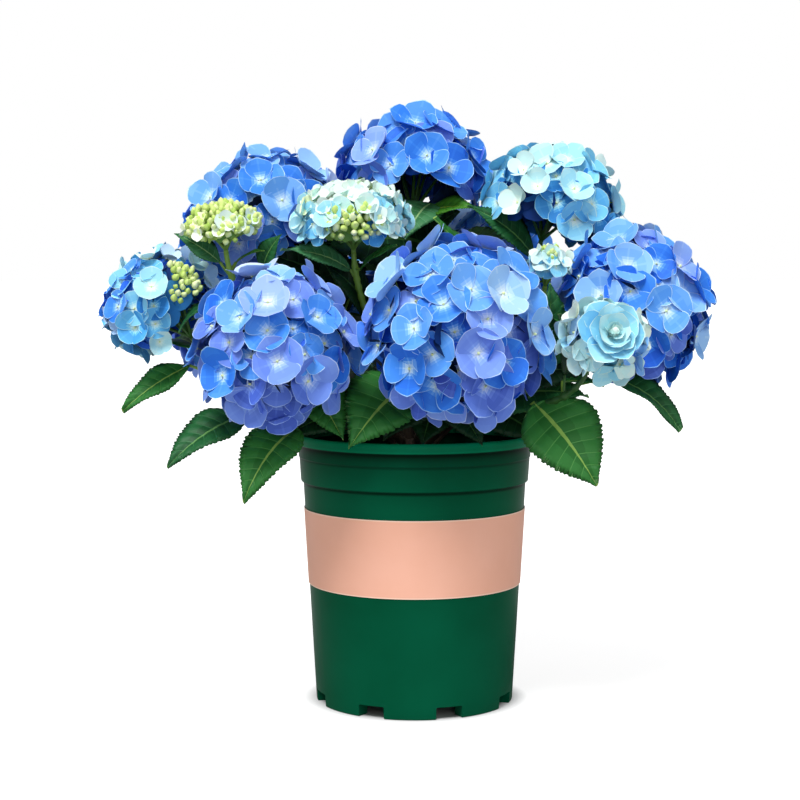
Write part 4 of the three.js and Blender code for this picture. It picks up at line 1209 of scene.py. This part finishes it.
def bud_groups(head, draw):
    """Groups of seven closed buds, one with six round it, and their places. Groups keep inside the heart
    by its edge's width, or lie down to the angle that buds reach."""
    heart_width, edge, sunk = head.get("heart_width", 0), 7, 4
    groups = spiral(int(zone_area(head) / (2.3 * head["bud"]) ** 2), head["cover"])
    groups = unit(groups + draw.normal(0, 0.06, groups.shape))
    middle, _ = on_head(head, groups, 1 - sunk / head["radius"])
    near = angle_to(unit(middle - head["centre"]), head["heart_way"])
    buried = 1 - np.where(near < heart_width, sunk, head.get("bury", sunk)) / head["radius"]
    middle, outward = on_head(head, groups, buried)
    kept = (near < heart_width - edge) | (angle_to(groups, UP) < head.get("buds_to", 0))
    middle, outward = middle[kept], outward[kept]
    x, y, z = lean_to(outward)
    spread = head["bud"] * draw.uniform(0.75, 1.15, (len(middle), GROUP, 1)) * (np.arange(GROUP) > 0)[:, None]
    turn = np.arange(GROUP)[:, None] * math.pi / 3 + draw.uniform(0, 1.5, (len(middle), 1, 1))
    places = middle[:, None] + spread * (x[:, None] * np.cos(turn) + y[:, None] * np.sin(turn))
    lower = draw.uniform(-1.5, 2, (len(middle), GROUP, 1)) + 0.25 * spread
    places = (places - z[:, None] * lower).reshape(-1, 3)
    facing = np.repeat(outward, GROUP, axis=0) + (0, 0, 0.5) + draw.normal(0, 0.2, (len(places), 3))
    tone = LIME * STEPS + draw.integers(3, 12, len(places)) + head.get("unripe", 0)
    size = draw.uniform(0.30, 0.46, len(places)) * head["bud"]
    return beads(places, unit(facing), size, tone), places


RAYS = {"count": 7, "cover": 95, "level": 0.52, "thick": (2.0, 1.1), "rows": 6, "sides": 7, "stalk": 0.7}
for i, (name, head) in enumerate(HEADS.items()):
    draw = np.random.default_rng(500 + i)
    head["heart_way"] = unit(np.array(head.get("heart", UP)))
    mix = np.array(head["hues"]) / sum(head["hues"])
    bloom, open_spots = open_florets(head, mix, draw)
    sheets, sheet_spots = inner_sheets(head, mix, draw)
    blossom = make_piece(f"blossom_{name}", bloom + sheets, petal_finishes)
    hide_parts(f"head_{name}")
    head.get("finish", "petals_blue")

    foot = head["line"][-1]
    fork = foot + head["axis"] * min(5, head["stem"] * 0.1)
    ray_ends, _ = on_head(head, spiral(RAYS["count"], RAYS["cover"]), RAYS["level"])
    thick = np.linspace(*RAYS["thick"], RAYS["rows"]) * (0.6 + head["radius"] / 200)
    green = head.get("green", LEAF_STEM)
    twigs = [(*limb(np.linspace(fork, end, RAYS["rows"]), thick, RAYS["sides"]), green) for end in ray_ends]
    twigs.append((*limb(np.linspace(foot, fork, 4), np.full(4, SHOOT["tip_radius"]), 10), green))
    spots = [open_spots, sheet_spots]
    if "bud" in head:
        group_beads, bud_spots = bud_groups(head, draw)
        buds = make_piece(f"buds_{name}", [group_beads], petal_finishes)
        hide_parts(f"head_{name}")
        spots.append(bud_spots)
    for ends in spots:
        nearest = np.argmin(np.linalg.norm(ends[:, None] - ray_ends[None], axis=2), axis=1)
        twigs.append(thin_stalks(ray_ends[nearest], ends, RAYS["stalk"], PALE_STEM))
    stalks = make_piece(f"stalks_{name}", twigs, stem_finishes)
    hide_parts(f"head_{name}")


# ---------------------------------------------------------------- the double floret
# One floret of the rose head is double: rings of petals crowd in to its middle, each ring shorter and
# more upright than the one outside it. It sits on the front of its head, on a stalk of its own.
DOUBLE = {
    "at": (167, -206, 365), "facing": (0.12, -0.94, 0.32), "deep": 0.46,
    "counts": (6, 5, 5, 4, 4, 3), "lengths": (28, 23, 18.5, 14.5, 11, 8.5), "rises": (4, 16, 30, 46, 62, 78),
    "ring_rise": 1.2, "cup": 0.24, "wave": 0.05, "point": 0.1, "heart": 5.2, "heart_rise": 9,
}

draw = np.random.default_rng(77)
x, y, z = lean_to(np.array([DOUBLE["facing"]], float))
rings = []
for k, (count, length, rise) in enumerate(zip(DOUBLE["counts"], DOUBLE["lengths"], DOUBLE["rises"])):
    turn = (np.arange(count)[:, None] + 0.5 * k) * 2 * math.pi / count + draw.normal(0, 0.08, (count, 1))
    level = x * np.cos(turn) + y * np.sin(turn)
    lean = np.radians(rise + draw.normal(0, 3, (count, 1)))
    out = level * np.cos(lean) + z * np.sin(lean)
    over = z * np.cos(lean) - level * np.sin(lean)
    eye = np.array(DOUBLE["at"], float) + z * (DOUBLE["ring_rise"] * k) + 0 * level
    points, faces = petals(
        OPEN_GRID, eye, out, over, length * draw.uniform(0.90, 1.08, count), draw.uniform(1.05, 1.35, count),
        np.full(count, DOUBLE["cup"]), draw.uniform(0.1, 0.4, count), np.full(count, DOUBLE["wave"]),
        draw.uniform(0, 6, count), np.full(count, DOUBLE["point"]))
    deep = DOUBLE["deep"] * (1 - 0.15 * k) * draw.uniform(0.75, 1.15, count)
    rings.append((points, faces, petal_tones(OPEN_GRID, np.full(count, ICE), deep)))
heart = np.array([DOUBLE["at"]], float) + z * DOUBLE["heart_rise"]
rings.append(beads(heart, z, np.array([DOUBLE["heart"]]), np.array([ICE * STEPS + 3])))
double_floret = make_piece("blossom_double", rings, petal_finishes)
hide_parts("head_rose")
stalk_way = np.array([HEADS["rose"]["centre"], np.array(DOUBLE["at"]) + z[0] * 1.5])
double_stalk = make_piece(
    "stalks_double", [(*limb(stalk_way, np.array([1.4, 1.2]), RAYS["sides"]), PALE_STEM)], stem_finishes)
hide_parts("head_rose")
